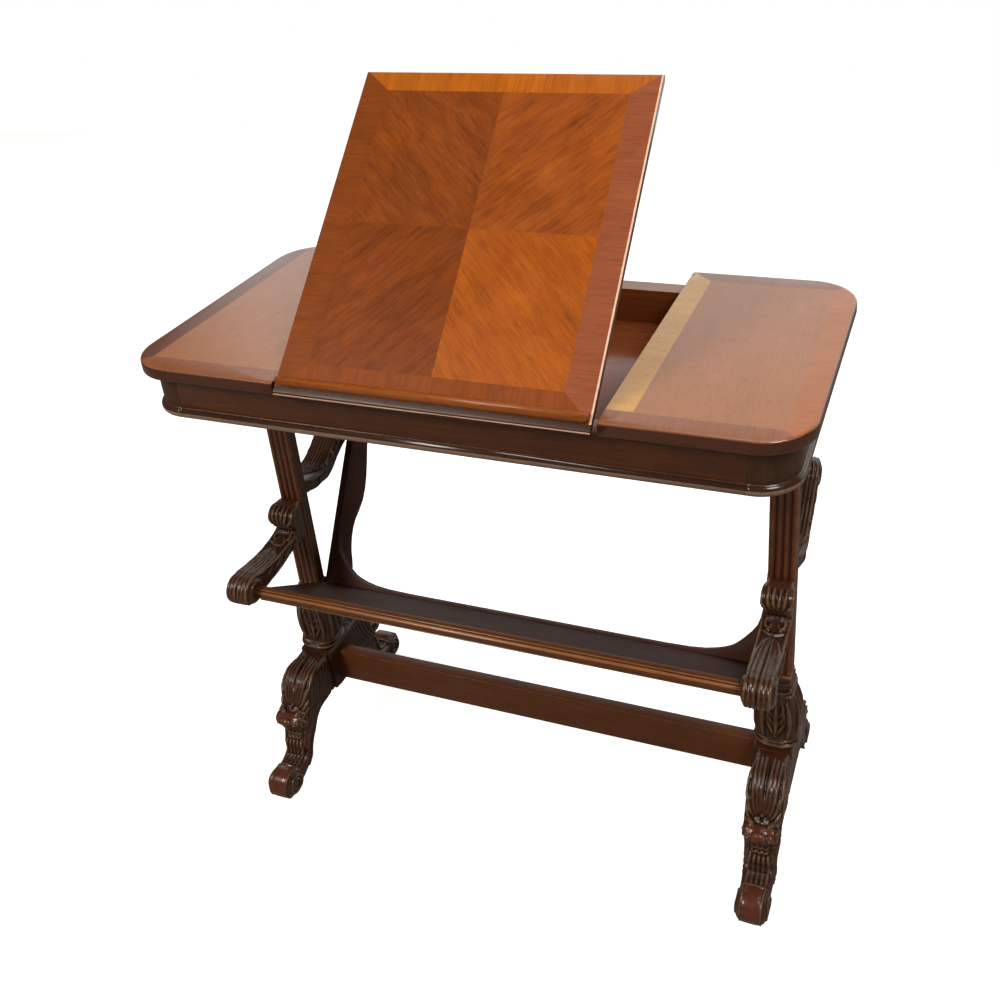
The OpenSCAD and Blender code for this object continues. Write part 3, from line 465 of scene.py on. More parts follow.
# The right half's lines: knee leaf, two crossing leaves, side ribs, rims, the eyes of knee and toe, shin flutes.
half = []
for k in range(4):
    half.append([(5 + 5.2 * k, -44 - 3 * k, 174, 1.0), (5 + 5.4 * k, -66 - 3 * k, 171 - 2 * k, 2.5),
                 (4.4 + 5.2 * k, -86 - 2 * k, 161 - 4 * k, 2.7), (3.6 + 4.4 * k, -98 - k, 149 - 5 * k, 2.5),
                 (2.6 + 3.2 * k, -106, 139 - 4 * k, 2.2), (1.6 + 1.8 * k, -112, 131 - 3 * k, 1.2)])
half += [[(22, -96, 136, 1.0), (20, -106, 128, 2.4), (15, -113, 124, 2.6), (9, -117, 125, 1.4)],
         [(22, -98, 124, 1.0), (20, -108, 119, 2.2), (15, -116, 118, 2.2), (10, -119, 120, 1.2)]]
for k in range(6):
    half.append([(24, -38 - 9 * k, 164 - 2 * k, 0.9), (25, -42 - 9.5 * k, 146 - 2.5 * k, 2.6),
                 (25, -52 - 9 * k, 124 - 1.5 * k, 2.3), (24, -66 - 8 * k, 106 - k, 0.9)])
half += [[(22, -40, 103, 1.5), (22, -58, 104, 1.8), (21, -74, 97, 1.8), (21, -88, 87, 1.8), (20, -99, 72, 1.7),
          (18, -107, 56, 1.6), (19, -116, 40, 1.5), (20, -126, 27, 1.3)],
         [(22, -54, 150, 1.2), (22, -46, 142, 1.6), (22, -48, 130, 1.8), (22, -58, 130, 1.8),
          (22, -60, 140, 1.4), (22, -54, 142, 1.0)],
         ring_of(knee_half + 1, roll_y, roll_z, 8, 1.6, 13),
         ring_of(13.5, toe_y, toe_r, 22, 1.0, 14, math.radians(62), math.radians(240)),
         ring_of(20, toe_y, toe_r, 14, 1.6), ring_of(20, toe_y, toe_r, 8.5, 1.5),
         [(5, -107, 133, 1.5), (4, -109, 126, 1.5)]]
for k in range(5):
    half.append([(17, -100 - 3 * k, 98 - 7 * k, 0.8), (17, -106 - 2.6 * k, 90 - 7 * k, 1.7),
                 (16, -112 - 2.2 * k, 80 - 6 * k, 0.8)])
leg_lines = [[(0, -96, 156, 0.8), (0, -101, 147, 2.4), (0, -104, 138, 2.2), (0, -107, 132, 0.9)]] + mirrored(half)
for s in (-1, 1):
    leg_lines.append([(s * 14.5 + 3.6 * math.cos(a), -131, 113 + 3.6 * math.sin(a), 1.2)
                      for a in np.linspace(0, 2 * math.pi, 9)])
for k in range(4):
    w, z = 4 + 3.2 * k, 127 - k
    leg_lines.append([(-w, -104, z + 3, 0.7), (-0.7 * w, -110, z - 3 - k, 1.3), (0, -114, z - 6 - 1.6 * k, 1.4),
                      (0.7 * w, -110, z - 3 - k, 1.3), (w, -104, z + 3, 0.7)])
for z in (98, 91, 84, 77):
    for x in (-7, 0, 7):
        leg_lines.append([(x - 4.5, -114, z + 1, 0.9), (x - 3, -117, z - 3, 1.7), (x, -118, z - 4.6, 1.7),
                          (x + 3, -117, z - 3, 1.7), (x + 4.5, -114, z + 1, 0.9)])
leg_surface = surface_of(leg_blank)
leg_beads = [drop((0, -131.5, 116), (9.5, 6.0, 6.5), 3), drop((0, -108, 130), (2.4, 2.4, 2.4))]
for x in (-13, -6.5, 0, 6.5, 13):
    leg_lines.append([(0.86 * x, -119, 70, 0.9), (x, -124, 61, 2.6), (x, -133, 51, 2.8), (x, -142, 45, 2.4),
                      (x, -147, 43, 1.2)])
    leg_beads.append(drop(leg_surface.find_nearest(Vector((x, -145, 43)) * mm)[0] / mm, (2.7, 2.7, 2.7)))
leg_lines.append([(-17, -151, 40, 1.3), (0, -151, 42.5, 1.9), (17, -151, 40, 1.3)])
for s in (-1, 1):
    leg_beads += [drop((s * 14.5, -133, 113), (1.9, 1.9, 1.9)), drop((s * knee_half, roll_y, roll_z), (4, 4, 4)),
                  drop((s * 18.5, toe_y, toe_r), (3.5, 3.5, 3.5))]
leg = carved("leg", leg_blank, leg_lines, leg_beads, 0.95, 0.65, ((-25, -186, 0), (25, -18, 174)))

# The roll under the knee and the toe's barrel are left smooth and rubbed to a brighter red.
rubbed_wood = wood("Rubbed rolls", (108, 56, 34), (62, 31, 19), along="z", fibres=300, rough=(0.24, 0.38),
                   polish=0.35, bump=0.05, rubbed_and_lit=(140, 98, 62), grime_and_shade=(20, 10, 7), rubbed_and_lit_from=0.3)
leg.data.materials.append(rubbed_wood)
for face in leg.data.polygons:
    x, y, z = face.center / mm
    out_of_toe, out_of_roll = math.hypot(y - toe_y, z - toe_r), math.hypot(y - roll_y, z - roll_z)
    on_toe = abs(x) < 12.5 and y < toe_y + 12 and toe_r - 5 < out_of_toe < toe_r + 2
    on_roll = abs(x) < 19 and y < roll_y - 2 and 9 < out_of_roll < 24 and 99 < z < 124
    if on_toe or on_roll:
        face.material_index = 1
at_trestles(leg, {"_front_leg": Matrix(), "_rear_leg": Matrix.Rotation(math.pi, 4, "Z")})

# Vases, the swollen carved blocks between each foot and its post.
# One piece of mahogany each, carved with an upright leaf on the front and back, full gadroons at the corners,
# a cable ring near the base and two thin collars at the neck.
vase_low, vase_high = 174, 289
vase_blank = soften(blank_of("right_vase", 1.8), 9, lambda p: (
    np.clip((p[:, 2] - vase_low) / 4, 0, 1) * np.clip((vase_high - p[:, 2]) / 4, 0, 1)))
vase_lines = []
for f in (-1, 1):
    half = [[(1.5, f * 24, 190 + 14 * k, 1.0), (6 + k, f * 23, 199 + 15 * k, 2.0),
             (12 - k, f * 23, 214 + 14 * k, 2.0), (13 - 3 * k, f * 23, 226 + 12 * k, 0.9)] for k in range(3)]
    half += [[(16, f * 24, 188, 1.2), (18, f * 22, 206, 3.4), (18, f * 22, 230, 3.4), (14, f * 24, 254, 1.4)],
             [(25, f * 14, 190, 1.4), (27, f * 12, 208, 3.6), (24, f * 12, 234, 3.2), (19, f * 13, 256, 1.4)]]
    vase_lines.append([(0, f * 24, 188, 1.4), (0, f * 22, 206, 3.0), (0, f * 24, 228, 2.6), (0, f * 26, 252, 1.0)])
    vase_lines += mirrored(half)
vase_lines += mirrored([[(28, 0, 190, 1.4), (30, 0, 210, 3.0), (26, 0, 236, 2.6), (20, 0, 258, 1.0)]])
for z, r in ((178.5, 2.6), (186, 1.3), (264, 1.5), (271, 2.0), (281, 1.4)):
    vase_lines.append([(32 * math.cos(a), 32 * math.sin(a), z, r) for a in np.linspace(0, 2 * math.pi, 25)])
vase = carved("vase", vase_blank, vase_lines, [], 1.0, 0.4, ((-31, -31, vase_low), (31, 31, vase_high)))
at_trestles(vase, {"_vase": Matrix()})

# Posts, reeded all round and tenoned up into the bearers.
# Warm red-brown mahogany, run in one length with four full reeds to the front and back.
# The reeds' crowns go paler and the grooves darker: wear and dirt, with painted highlight and painted shade.
post_wood = wood("Reeded post", (94, 47, 22), (54, 26, 12), along="z", rubbed_and_lit=(140, 92, 58), grime_and_shade=(24, 13, 8),
                 rubbed_and_lit_from=0.2, grimy_and_shaded_from=0.06)
for side in ("left", "right"):
    post = soften(remeshed(copy_of(side + "_post"), 1.5), 1)
    smooth(painted(post, post_wood), 60)
    fixed(with_relief(post, 5), "table", side + "_post")

# Front brackets, the carved arms that hold the front of the trough.
# Each has a rounded head under the post's front, a fluted neck, and a leaf that fans out over a rolled end.


def scroll(x, y, radius, tighten, start):
    """Spiral on the side of a rolled end, tightening towards its eye."""
    return [(x, y + (radius - tighten * a) * math.cos(a + start), (radius - tighten * a) * math.sin(a + start), 1.6)
            for a in np.linspace(0, 6.3, 20)]


bracket_z, bracket_end, bracket_root = 383.0, -149, -12
bracket_blank = soften(blank_of("right_front_bracket", 1.8, bracket_z), 8,
                       lambda p: np.clip((bracket_root - p[:, 1]) / 5, 0, 1))
half = [
    [(1.5, -44, 37, 1.0), (3, -47, 46, 2.4), (4, -43, 56, 2.4), (4, -32, 63, 1.2)],
    [(4, -44, 37, 1.0), (9, -46, 45, 2.6), (11, -42, 54, 2.4), (11, -30, 62, 1.2)],
    [(8, -44, 36, 1.0), (14, -44, 41, 2.4), (17, -40, 50, 2.2), (17, -30, 58, 1.2)],
    [(18, -20, 60, 1.2), (19, -34, 58, 2.2), (19, -44, 48, 2.0), (18, -42, 38, 1.2)],
    [(6, -37, 18, 1.2), (11, -40, 19, 1.8), (12, -48, 16, 1.8), (7, -52, 15, 1.4), (4, -46, 18, 1.0)],
    [(17, -30, 22, 1.6), (17, -52, 16, 2.0), (17, -86, 14, 2.0), (18, -120, 16, 2.0), (18, -138, 19, 1.4)],
    [(17, -20, 1, 1.4), (17, -60, -1, 1.6), (17, -100, -8, 1.6), (18, -132, -14, 1.4)]]
for k in range(3):
    w = 3.5 + 5.5 * k
    half.append([(w * 0.5, -66 - 4 * k, 15, 0.9), (w * 0.9, -96, 15, 2.2), (w, -128, 18, 2.6), (w, -148, 21, 2.8),
                 (w, -165, 12, 2.8), (w, -169, -2, 2.5), (w * 0.8, -160, -16, 1.2)])
half.append(scroll(19, bracket_end, 15, 1.8, 0.6))
for k in range(4):
    half.append([(17, -36 - 22 * k, 12, 0.8), (17, -46 - 22 * k, 6, 1.9), (17, -56 - 22 * k, 0, 0.8)])
bracket_lines = mirrored(half)
for k in range(6):
    x = -12.5 + 5 * k
    bracket_lines.append([(x, -40, 31, 1.3), (x, -36.5, 26, 1.7), (x, -37.5, 21, 1.1)])
bracket_lines += [[(-17, -38, 33, 1.4), (0, -42, 33, 1.8), (17, -38, 33, 1.4)],
                  [(-14, -58, 15.5, 1.2), (0, -64, 15, 1.7), (14, -58, 15.5, 1.2)]]
bracket_beads = [drop((s * 18.6, bracket_end, 0), (2.4, 4.2, 4.2)) for s in (-1, 1)]
bracket_beads += [drop((s * 8, -55, 16), (2.0, 2.4, 2.0)) for s in (-1, 1)]
bracket_beads += [drop((s * 18.5, -30 - 3 * k, 57 - 8 * k), (1.5, 2.2, 2.2)) for s in (-1, 1) for k in range(3)]
bracket = carved("bracket", bracket_blank, bracket_lines, bracket_beads, 1.0, 0.4,
                 ((-20.4, -171, -22), (20.4, -5, 66)))
at_trestles(bracket, {"_front_bracket": Matrix()}, bracket_z, handed=True)

# Rear arms, which rise behind the posts to hold the top of the trough's back.
# Carved like the brackets with a long leaf underneath and a rolled end, and slimmer towards the post.
arm_z, arm_end, arm_root = 500.0, 161, 12
slim_from, slimmed = 34, 0.22
arm_blank = soften(blank_of("right_rear_arm", 1.8, arm_z), 8, lambda p: np.clip((p[:, 1] - arm_root) / 5, 0, 1))
co = places(arm_blank) / mm
root = np.clip((slim_from - co[:, 1]) / 24, 0, 1)
co[:, 0] *= 1 - slimmed * root
co[:, 2] += root * np.clip((-48 - co[:, 2]) * 0.5, 0, 9)
reshaped(arm_blank, co * mm)
half = []
for k in range(4):
    w = 2.6 + 5.0 * k
    half.append([(w * 0.7, 34 + 4 * k, -61, 0.9), (w, 62, -59, 2.3), (w, 90, -46, 2.6), (w, 118, -33, 2.6),
                 (w, 150, -21, 2.6), (w, 180, -10, 2.6), (w, 181, 6, 2.0), (w * 0.8, 172, 16, 1.0)])
    half.append([(w * 0.7, 30 + 4 * k, -37, 0.9), (w, 56, -37, 2.0), (w, 86, -26, 2.2), (w, 118, -7, 2.2),
                 (w, 146, 9, 1.6), (w * 0.8, 158, 20, 0.9)])
half += [[(20, 20, -42, 1.4), (20, 52, -42, 1.8), (20, 84, -32, 1.8), (20, 118, -13, 1.8), (20, 142, 4, 1.4)],
         scroll(19.5, arm_end, 16, 1.9, 3.4)]
for k in range(5):
    half.append([(20, 34 + 20 * k, -58 + 9 * k, 0.8), (20, 42 + 20 * k, -50 + 9 * k, 2.2),
                 (20, 44 + 20 * k, -42 + 9 * k, 0.8)])
arm_beads = [drop((s * 19.5, arm_end, 0), (2.2, 4.2, 4.2)) for s in (-1, 1)]
arm = carved("arm", arm_blank, mirrored(half), arm_beads, 1.05, 0.4, ((-22, 5, -70), (22, 183, 22)))
at_trestles(arm, {"_rear_arm": Matrix()}, arm_z, handed=True)

# Stretcher, a plain mid-brown rail between the foot blocks, with paler edges, rubbed and under a painted highlight.
# Its tenons are pegged from the back with two round pegs.


def eased(piece, width, finish, *edge, angle=35):
    """Flat facets joined and arrises rounded over, with a finish of their own where one is given."""
    work = bmesh.new()
    work.from_mesh(piece.data)
    bmesh.ops.dissolve_limit(work, angle_limit=math.radians(0.6), verts=work.verts, edges=work.edges)
    work.to_mesh(piece.data)
    work.free()
    painted(piece, finish, *edge)
    bevel = piece.modifiers.new("Eased arrises", "BEVEL")
    bevel.width = width * mm
    bevel.segments = 2
    bevel.limit_method = "ANGLE"
    bevel.angle_limit = math.radians(angle)
    bevel.material = 1 if edge else -1
    return smooth(settled(piece), 32)


rail_wood = wood("Stretcher rail", (116, 64, 28), (74, 39, 17), fibres=360, rough=(0.36, 0.52), polish=0.04)
rail_edge_rubbed_and_lit = wood("Rubbed rail edge with painted highlight", (152, 104, 66), (112, 72, 44), rough=(0.36, 0.52), polish=0.04)
fixed(eased(copy_of("stretcher"), 1.0, rail_wood, rail_edge_rubbed_and_lit), "table", "stretcher")
peg_wood = wood("Peg end grain", (120, 78, 48), (78, 46, 28), along="y", fibres=700)
painted(nodes["stretcher_pegs"], peg_wood)

# Book trough, two wide boards meeting in a crease, with shaped cheeks and a beaded front rail.
# Plain sawn mahogany stained dark, glued and dowelled, the back board sweeping up to the cheeks.
dull = dict(rough=(0.5, 0.62), polish=0.0, specular=0.14)
trough_wood = wood("Trough board", (84, 42, 26), (44, 21, 13), fibres=300, streaks=40, **dull)
# Arrises take a paler, greyer edge finish: rubbed wear with a painted highlight.
trough_edge_rubbed_and_lit = wood("Trough board edge with painted highlight", (84, 52, 36), (54, 32, 22), rough=(0.4, 0.5), polish=0.0)
cheek_wood = wood("Trough cheek", (88, 48, 34), (50, 27, 19), along="z", fibres=320, **dull)
for node, finish in (("trough_seat", trough_wood), ("trough_back", trough_wood), ("left_trough_cheek", cheek_wood),
                     ("right_trough_cheek", cheek_wood)):
    fixed(eased(copy_of(node), 1.2, finish, trough_edge_rubbed_and_lit), "table", node)
front_rail_wood = wood("Front rail", (112, 62, 30), (66, 35, 17), polish=0.05)
front_bead_highlight = wood("Rubbed bead of the rail", (158, 104, 60), (116, 70, 36), rough=(0.26, 0.38), polish=0.15)
front_rail = eased(copy_of("trough_front_rail"), 0.5, front_rail_wood, angle=50)
front_rail.data.materials.append(front_bead_highlight)
# Faces turned up and forward take a pale painted highlight.
for face in front_rail.data.polygons:
    if 0.45 < face.normal.z < 0.9 and face.normal.y < -0.2:
        face.material_index = 1
fixed(front_rail, "table", "trough_front_rail")
painted(nodes["trough_dowels"], peg_wood)

# Frieze, four boards tongued into solid rounded corner pieces, with a bead let in along the foot.
# Veneered dark red-brown, with a thin grey shine on the bead and a paler painted shine over its lower half.
frieze_look = dict(fibres=300, streaks=34, contrast=2.0, rough=(0.28, 0.42), polish=0.08)
frieze_wood = wood("Frieze veneer", (98, 52, 22), (56, 29, 12), **frieze_look)
frieze_side = wood("Frieze veneer on the ends", (98, 52, 22), (56, 29, 12), along="y", **frieze_look)
corner_wood = wood("Corner piece", (82, 52, 28), (50, 31, 17), along="z", fibres=300, streaks=50,
                   rough=(0.42, 0.56), polish=0.0)
# The back board's inner face takes a lighter copy of the veneer, painted light in the well's shade.
frieze_inside_lit = wood("Frieze inside", (150, 80, 36), (100, 50, 22), fibres=300)
# Upward faces of the frieze boards take a pale painted highlight.
frieze_top_highlight = wood("Frieze top edge", (172, 124, 92), (138, 92, 66), fibres=300, polish=0.3)
bead_wood = wood("Polished bead", (74, 46, 30), (44, 26, 17), fibres=300, rough=(0.16, 0.28), polish=0.4)
bead_foot_shine = wood("Dusty foot of the bead", (148, 122, 104), (106, 84, 70), fibres=300, rough=(0.4, 0.5), polish=0.0)
bead_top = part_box("front_bead")[1].z


def shine_below(piece):
    """The piece with a paler painted shine as a second finish on the lower half of its bead."""
    piece.data.materials.append(bead_foot_shine)
    for face in piece.data.polygons:
        if -0.97 < face.normal.z < 0.3 and face.center.z < bead_top:
            face.material_index = 1
    return piece


for name in ("front", "back", "left", "right"):
    finish = frieze_wood if name in ("front", "back") else frieze_side
    board = eased(copy_of(name + "_frieze"), 0.4, finish, angle=40)
    board.data.materials.append(frieze_inside_lit)
    board.data.materials.append(frieze_top_highlight)
    for face in board.data.polygons:
        if face.normal.z > 0.7:
            face.material_index = 2
        elif face.normal.y < -0.7 and name == "back":
            face.material_index = 1
    fixed(board, "table", name + "_frieze")
    bead = smooth(painted(copy_of(name + "_bead"), bead_wood), 35)
    fixed(shine_below(bead), "table", name + "_bead")
for node in ("front_left_corner", "front_right_corner", "back_left_corner", "back_right_corner"):
    fixed(shine_below(eased(copy_of(node), 0.2, corner_wood, angle=60)), "table", node)

# Well under the slope: a thin floor in a groove, two inner walls, and the notched strips for the prop.
# The floor is glossy red-brown. Walls, strips and the bearers under the tops are plain stained stock.
well_wood = wood("Well board", (156, 82, 46), (108, 52, 28), fibres=300, streaks=40, rough=(0.16, 0.3), polish=0.4)
wall_wood = wood("Well wall", (128, 68, 40), (84, 42, 24), along="y", fibres=300, rough=(0.26, 0.4), polish=0.4)
fixed(eased(copy_of("well_floor"), 0.3, well_wood, angle=45), "table", "well_floor")
for name, easing, slot in (("_well_wall", 0.5, "dark_wood"), ("_bearer", 0.6, "dark_wood"),
                           ("_rack", 0.5, "pale_wood")):
    for node in ("left" + name, "right" + name):
        fixed(eased(copy_of(node), easing, wall_wood, angle=45), "table", node)

# Fixed tops, two veneered panels with a rounded nosing, screwed up from the bearers.
# Straight-grained leaf in the middle and crossbanding all round, mitred at the back and at the outer end,
# with the front band running through past the band by the well. All under a glossy old polish.


def cut_along(piece, cuts):
    """Cuts faces along planes, each given as a point in millimetres and a normal, so that veneers end on them."""
    work = bmesh.new()
    work.from_mesh(piece.data)
    for point, normal in cuts:
        bmesh.ops.bisect_plane(work, geom=work.verts[:] + work.edges[:] + work.faces[:], dist=0.002 * mm,
                               plane_co=[c * mm for c in point], plane_no=normal)
    work.to_mesh(piece.data)
    work.free()


def veneered(piece, chosen, finishes):
    """Gives each face the finish that the rule picks from its middle and its normal."""
    painted(piece, *finishes)
    for face in piece.data.polygons:
        face.material_index = chosen(face.center / mm, face.normal)
    return smooth(piece, 32)


low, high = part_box("right_top_panel")
top_z, inner_x, outer_x, outer_y = high.z / mm, low.x / mm, high.x / mm, high.y / mm
band, lip_drop, nosing_drop = 30.0, 0.9, 1.4
glossy = dict(rough=(0.22, 0.34), polish=0.7, bump=0.015)
banding = dict(fibres=260, streaks=30, **glossy)
leaf_veneer = wood("Top leaf veneer", (174, 112, 64), (144, 86, 46), along="y", fibres=300, streaks=26,
                   contrast=1.5, **glossy)
well_band = wood("Top band by the well", (218, 164, 78), (180, 124, 54), contrast=1.8, **banding)
end_band = wood("Top end band", (184, 108, 50), (150, 82, 36), **banding)
long_band = wood("Top front and back band", (152, 92, 54), (124, 70, 40), along="y", **banding)
# The left panel's end band and band by the well are darker copies of the right's: painted shade where the backdrop's
# sheen fades.
shaded_left_end_band = wood("Left top end band", (120, 66, 36), (90, 48, 26), **banding)
shaded_left_well_band = wood("Left top band by the well", (178, 122, 66), (146, 94, 46), contrast=1.8, **banding)
nosing_wood = wood("Nosing", (88, 44, 22), (52, 26, 13), fibres=300, rough=(0.28, 0.42), polish=0.45)
nosing_highlight = wood("Nosing highlight", (150, 98, 64), (116, 70, 44), fibres=300, rough=(0.24, 0.36), polish=0.8)


def band_of(place, normal):
    """Which finish a face carries: the leaf, the well, end or long band, the nosing or the painted highlight on its
    upper rounding.
    """
    x, y, z = abs(place.x), place.y, place.z
    if z < top_z - lip_drop or normal.z < 0.5:
        return 4 if z < top_z - nosing_drop or normal.z < 0.25 else 5
    gaps = {1: x - inner_x, 2: outer_x - x, 3: outer_y - abs(y)}
    nearest = min(gaps, key=gaps.get)
    if nearest == 1 and y < band - outer_y:
        return 3
    return nearest if gaps[nearest] < band else 0


for side, s, bands in (("left", -1, [shaded_left_well_band, shaded_left_end_band]), ("right", 1, [well_band, end_band])):
    cuts = [((s * (inner_x + band), 0, 0), (1, 0, 0)), ((s * (outer_x - band), 0, 0), (1, 0, 0)),
            ((0, outer_y - band, 0), (0, 1, 0)), ((0, -(outer_y - band), 0), (0, 1, 0))]
    for f in (-1, 1):
        cuts += [((s * inner_x, f * outer_y, 0), (s, f, 0)), ((s * outer_x, f * outer_y, 0), (s, -f, 0))]
    panel = copy_of(side + "_top_panel")
    cut_along(panel, cuts)
    veneered(panel, band_of, [leaf_veneer] + bands + [long_band, nosing_wood, nosing_highlight])
    fixed(panel, "table", side + "_top_panel")

# Hinges and screws, small brass butts let in under the front edge and steel screws up through the bearers.
# The brass has gone brown in patches, and the steel of the screws and of the prop's pins is dull.


def metal(name, colour, dulled):
    """Old metal with cloudy patches, which are rougher where they are duller."""
    material = bpy.data.materials.new(name)
    tree = emptied(material)
    cloudy = noise(tree, shader_node(tree, "TexCoord", {}, "Object"), 220.0, 5, 0.6)
    skin = shader_node(tree, "BsdfPrincipled", {
        "Base Color": blend_colours(tree, ramp(tree, cloudy, 0.35, 0.7), tone(*dulled), tone(*colour)),
        "Roughness": ramp(tree, cloudy, 0.3, 0.7, 0.5, 0.28), "Metallic": 1.0})
    shader_node(tree, "OutputMaterial", {"Surface": skin}, None)
    return material


brass = metal("Aged brass", (196, 158, 92), (128, 96, 52))
steel = metal("Dull steel", (150, 148, 144), (96, 92, 88))
for node in ("left_table_leaf", "right_table_leaf", "hinge_pins", "left_slope_leaf", "right_slope_leaf",
             "left_prop_bracket", "right_prop_bracket", "table_leaf_screws", "slope_leaf_screws", "bracket_screws"):
    painted(nodes[node], brass)
for node in ("prop_pins", "panel_screws"):
    painted(nodes[node], steel)

# Reading slope, a veneered board that lifts on its front hinges.
# Four matched leaves meet in the middle with their grain running to the corners, inside a mitred crossband.
# Its arris is worn and carries a pale painted highlight, widest along the right edge, and the side faces are cut
# back below it.
slope_tilt = math.radians(42.6)
hinge = Vector((0, -200.2 * mm, 743 * mm))
slope_half, slope_low, slope_high = 192.0, -207.0, 227.0
band_x, band_low, band_high = 156.0, -165.0, 199.0
front_edge = slope_low + 10
arris_highlight_width = 2.3
face_z, arris_z, undercut_z, undercut = 758.8, 757.5, 757, 0.22
middle_y = (band_low + band_high) / 2
lay_flat = Matrix.Rotation(-slope_tilt, 4, "X")
raise_up = Matrix.Translation(hinge) @ Matrix.Rotation(slope_tilt, 4, "X") @ Matrix.Translation(-hinge)
slope_middle = raise_up @ Vector((0, middle_y * mm, 760 * mm))


def on_slope(name, light, dark, spin, **more):
    """Veneer whose grain is turned by the angle from the slope's own X axis."""
    turn = Matrix.Rotation(-spin, 3, "Z") @ lay_flat.to_3x3()
    return wood(name, light, dark, turn=(-slope_tilt, 0, -spin), place=-(turn @ slope_middle), **more)


quarter = math.radians(45)
waxed = dict(polish=0.08, bump=0.06, specular=0.22)
leaf = dict(fibres=700, streaks=110, contrast=2.7, rough=(0.34, 0.46), pore=(74, 28, 8), **waxed)
cross = dict(fibres=280, streaks=60, contrast=1.8, rough=(0.32, 0.44), pore=(84, 34, 10), **waxed)
# The four leaves are one veneer given fixed tones of their own, painted light for how each catches the light; the
# lower right is brightest.
slope_finishes = [
    on_slope("Slope leaf upper right", (170, 86, 20), (104, 44, 6), quarter, **leaf),
    on_slope("Slope leaf upper left", (150, 73, 14), (90, 39, 4), -quarter, **leaf),
    on_slope("Slope leaf lower left", (144, 68, 10), (84, 36, 3), quarter, **leaf),
    on_slope("Slope leaf lower right", (182, 92, 10), (126, 57, 2), -quarter, **leaf),
    on_slope("Slope top band", (194, 105, 16), (136, 66, 5), quarter * 2, **cross),
    # The right band is paler and greyer than the left band: a painted sheen.
    on_slope("Slope right band", (160, 88, 52), (118, 60, 36), 0.0, **cross),
    on_slope("Slope bottom band", (150, 72, 10), (106, 46, 4), quarter * 2, **cross),
    on_slope("Slope front margin", (78, 46, 30), (48, 28, 18), 0.0, **cross),
    on_slope("Slope edge", (92, 50, 30), (58, 31, 19), 0.0, **cross),
    on_slope("Slope arris, painted highlight", (238, 204, 182), (212, 168, 140), 0.0, **cross),
    on_slope("Slope left band", (142, 69, 16), (96, 43, 6), 0.0, **cross)]


def slope_veneer(place, normal):
    """Which of the finishes a face of the slope carries, judged with the slope laid flat."""
    x, y, z = raise_up.inverted() @ (place * mm) / mm
    up = (lay_flat.to_3x3() @ normal).z
    if up < 0.6 or z < face_z:
        return 9 if up > 0.2 and z > arris_z else 8
    if y < front_edge:
        return 7
    # A strip along the right edge only takes the arris's painted highlight.
    if x > slope_half - arris_highlight_width:
        return 9
    shares = [(slope_half - abs(x)) / (slope_half - band_x), (slope_high - y) / (slope_high - band_high),
              (y - front_edge) / (band_low - front_edge)]
    if min(shares) < 1:
        return (5 if x > 0 else 10, 4, 6)[shares.index(min(shares))]
    if y > middle_y:
        return 0 if x > 0 else 1
    return 3 if x > 0 else 2


slope = copy_of("reading_slope")
slope.data.transform(raise_up.inverted())
cuts = [((0, middle_y, 0), (0, 1, 0)), ((0, 0, 0), (1, 0, 0)), ((0, band_low, 0), (0, 1, 0)),
        ((0, band_high, 0), (0, 1, 0)), ((0, front_edge, 0), (0, 1, 0)), ((0, 0, face_z), (0, 0, 1))]
for s in (-1, 1):
    cuts += [((s * band_x, 0, 0), (1, 0, 0)), ((s * (slope_half - arris_highlight_width), 0, 0), (1, 0, 0))]
    for outer, inner in ((slope_high, band_high), (front_edge, band_low)):
        cuts.append(((s * slope_half, outer, 0), (inner - outer, s * (slope_half - band_x), 0)))
cut_along(slope, cuts)
for point in slope.data.vertices:
    if abs(point.co.x) > (slope_half - 4) * mm and point.co.z < undercut_z * mm:
        point.co.x -= math.copysign((undercut_z * mm - point.co.z) * undercut, point.co.x)
slope.data.transform(raise_up)
fixed(veneered(slope, slope_veneer, slope_finishes), "slope", "reading_slope")

# Book rest, the ledge near the slope's front edge that keeps a book from sliding down.
# One stick of paler mahogany with a rounded top and round ends, glued to the slope.
rest_wood = on_slope("Book rest", (172, 94, 34), (120, 60, 18), 0.0, rough=(0.24, 0.36), polish=0.2)
fixed(smooth(painted(copy_of("book_rest"), rest_wood), 35), "slope", "book_rest")

# Prop, a light frame of two struts and a round bar that drops into the notches of the well.
# Pale turned and sawn stock, pinned to brass brackets under the slope.
prop_wood = wood("Prop strut", (150, 100, 62), (108, 68, 40), along="y", rough=(0.36, 0.52), polish=0.15)
bar_wood = wood("Prop bar", (150, 100, 62), (108, 68, 40), rough=(0.36, 0.52), polish=0.15)
for node, finish in (("left_prop_strut", prop_wood), ("right_prop_strut", prop_wood), ("prop_foot_bar", bar_wood)):
    fixed(eased(copy_of(node), 0.5, finish, angle=45), "prop", node)

# Studio: a plain pale floor that keeps the table's shadow, and a white surround.
# Three soft lamps, and the camera at the photograph's viewing angle.


def sheet(name, corners, paint):
    """Flat sheet with four corners."""
    mesh = bpy.data.meshes.new(name)
    mesh.from_pydata(corners, [], [(0, 1, 2, 3)])
    mesh.materials.append(paint)
    return shown(name, mesh)


surround = bpy.data.worlds.new("Studio")
bpy.context.scene.world = surround
tree = emptied(surround)
seen = shader_node(tree, "LightPath", {}, None)
soft = shader_node(tree, "Background", {
    "Color": (1.0, 0.94, 0.86, 1), "Strength": ramp(tree, seen.outputs["Is Glossy Ray"], 0, 1, 0.34, 0.09)})
white = shader_node(tree, "Background", {"Color": (1, 1, 1, 1), "Strength": 1.0})
sky = shader_node(tree, "MixShader", {0: seen.outputs["Is Camera Ray"], 1: soft, 2: white})
shader_node(tree, "OutputWorld", {"Surface": sky}, None)

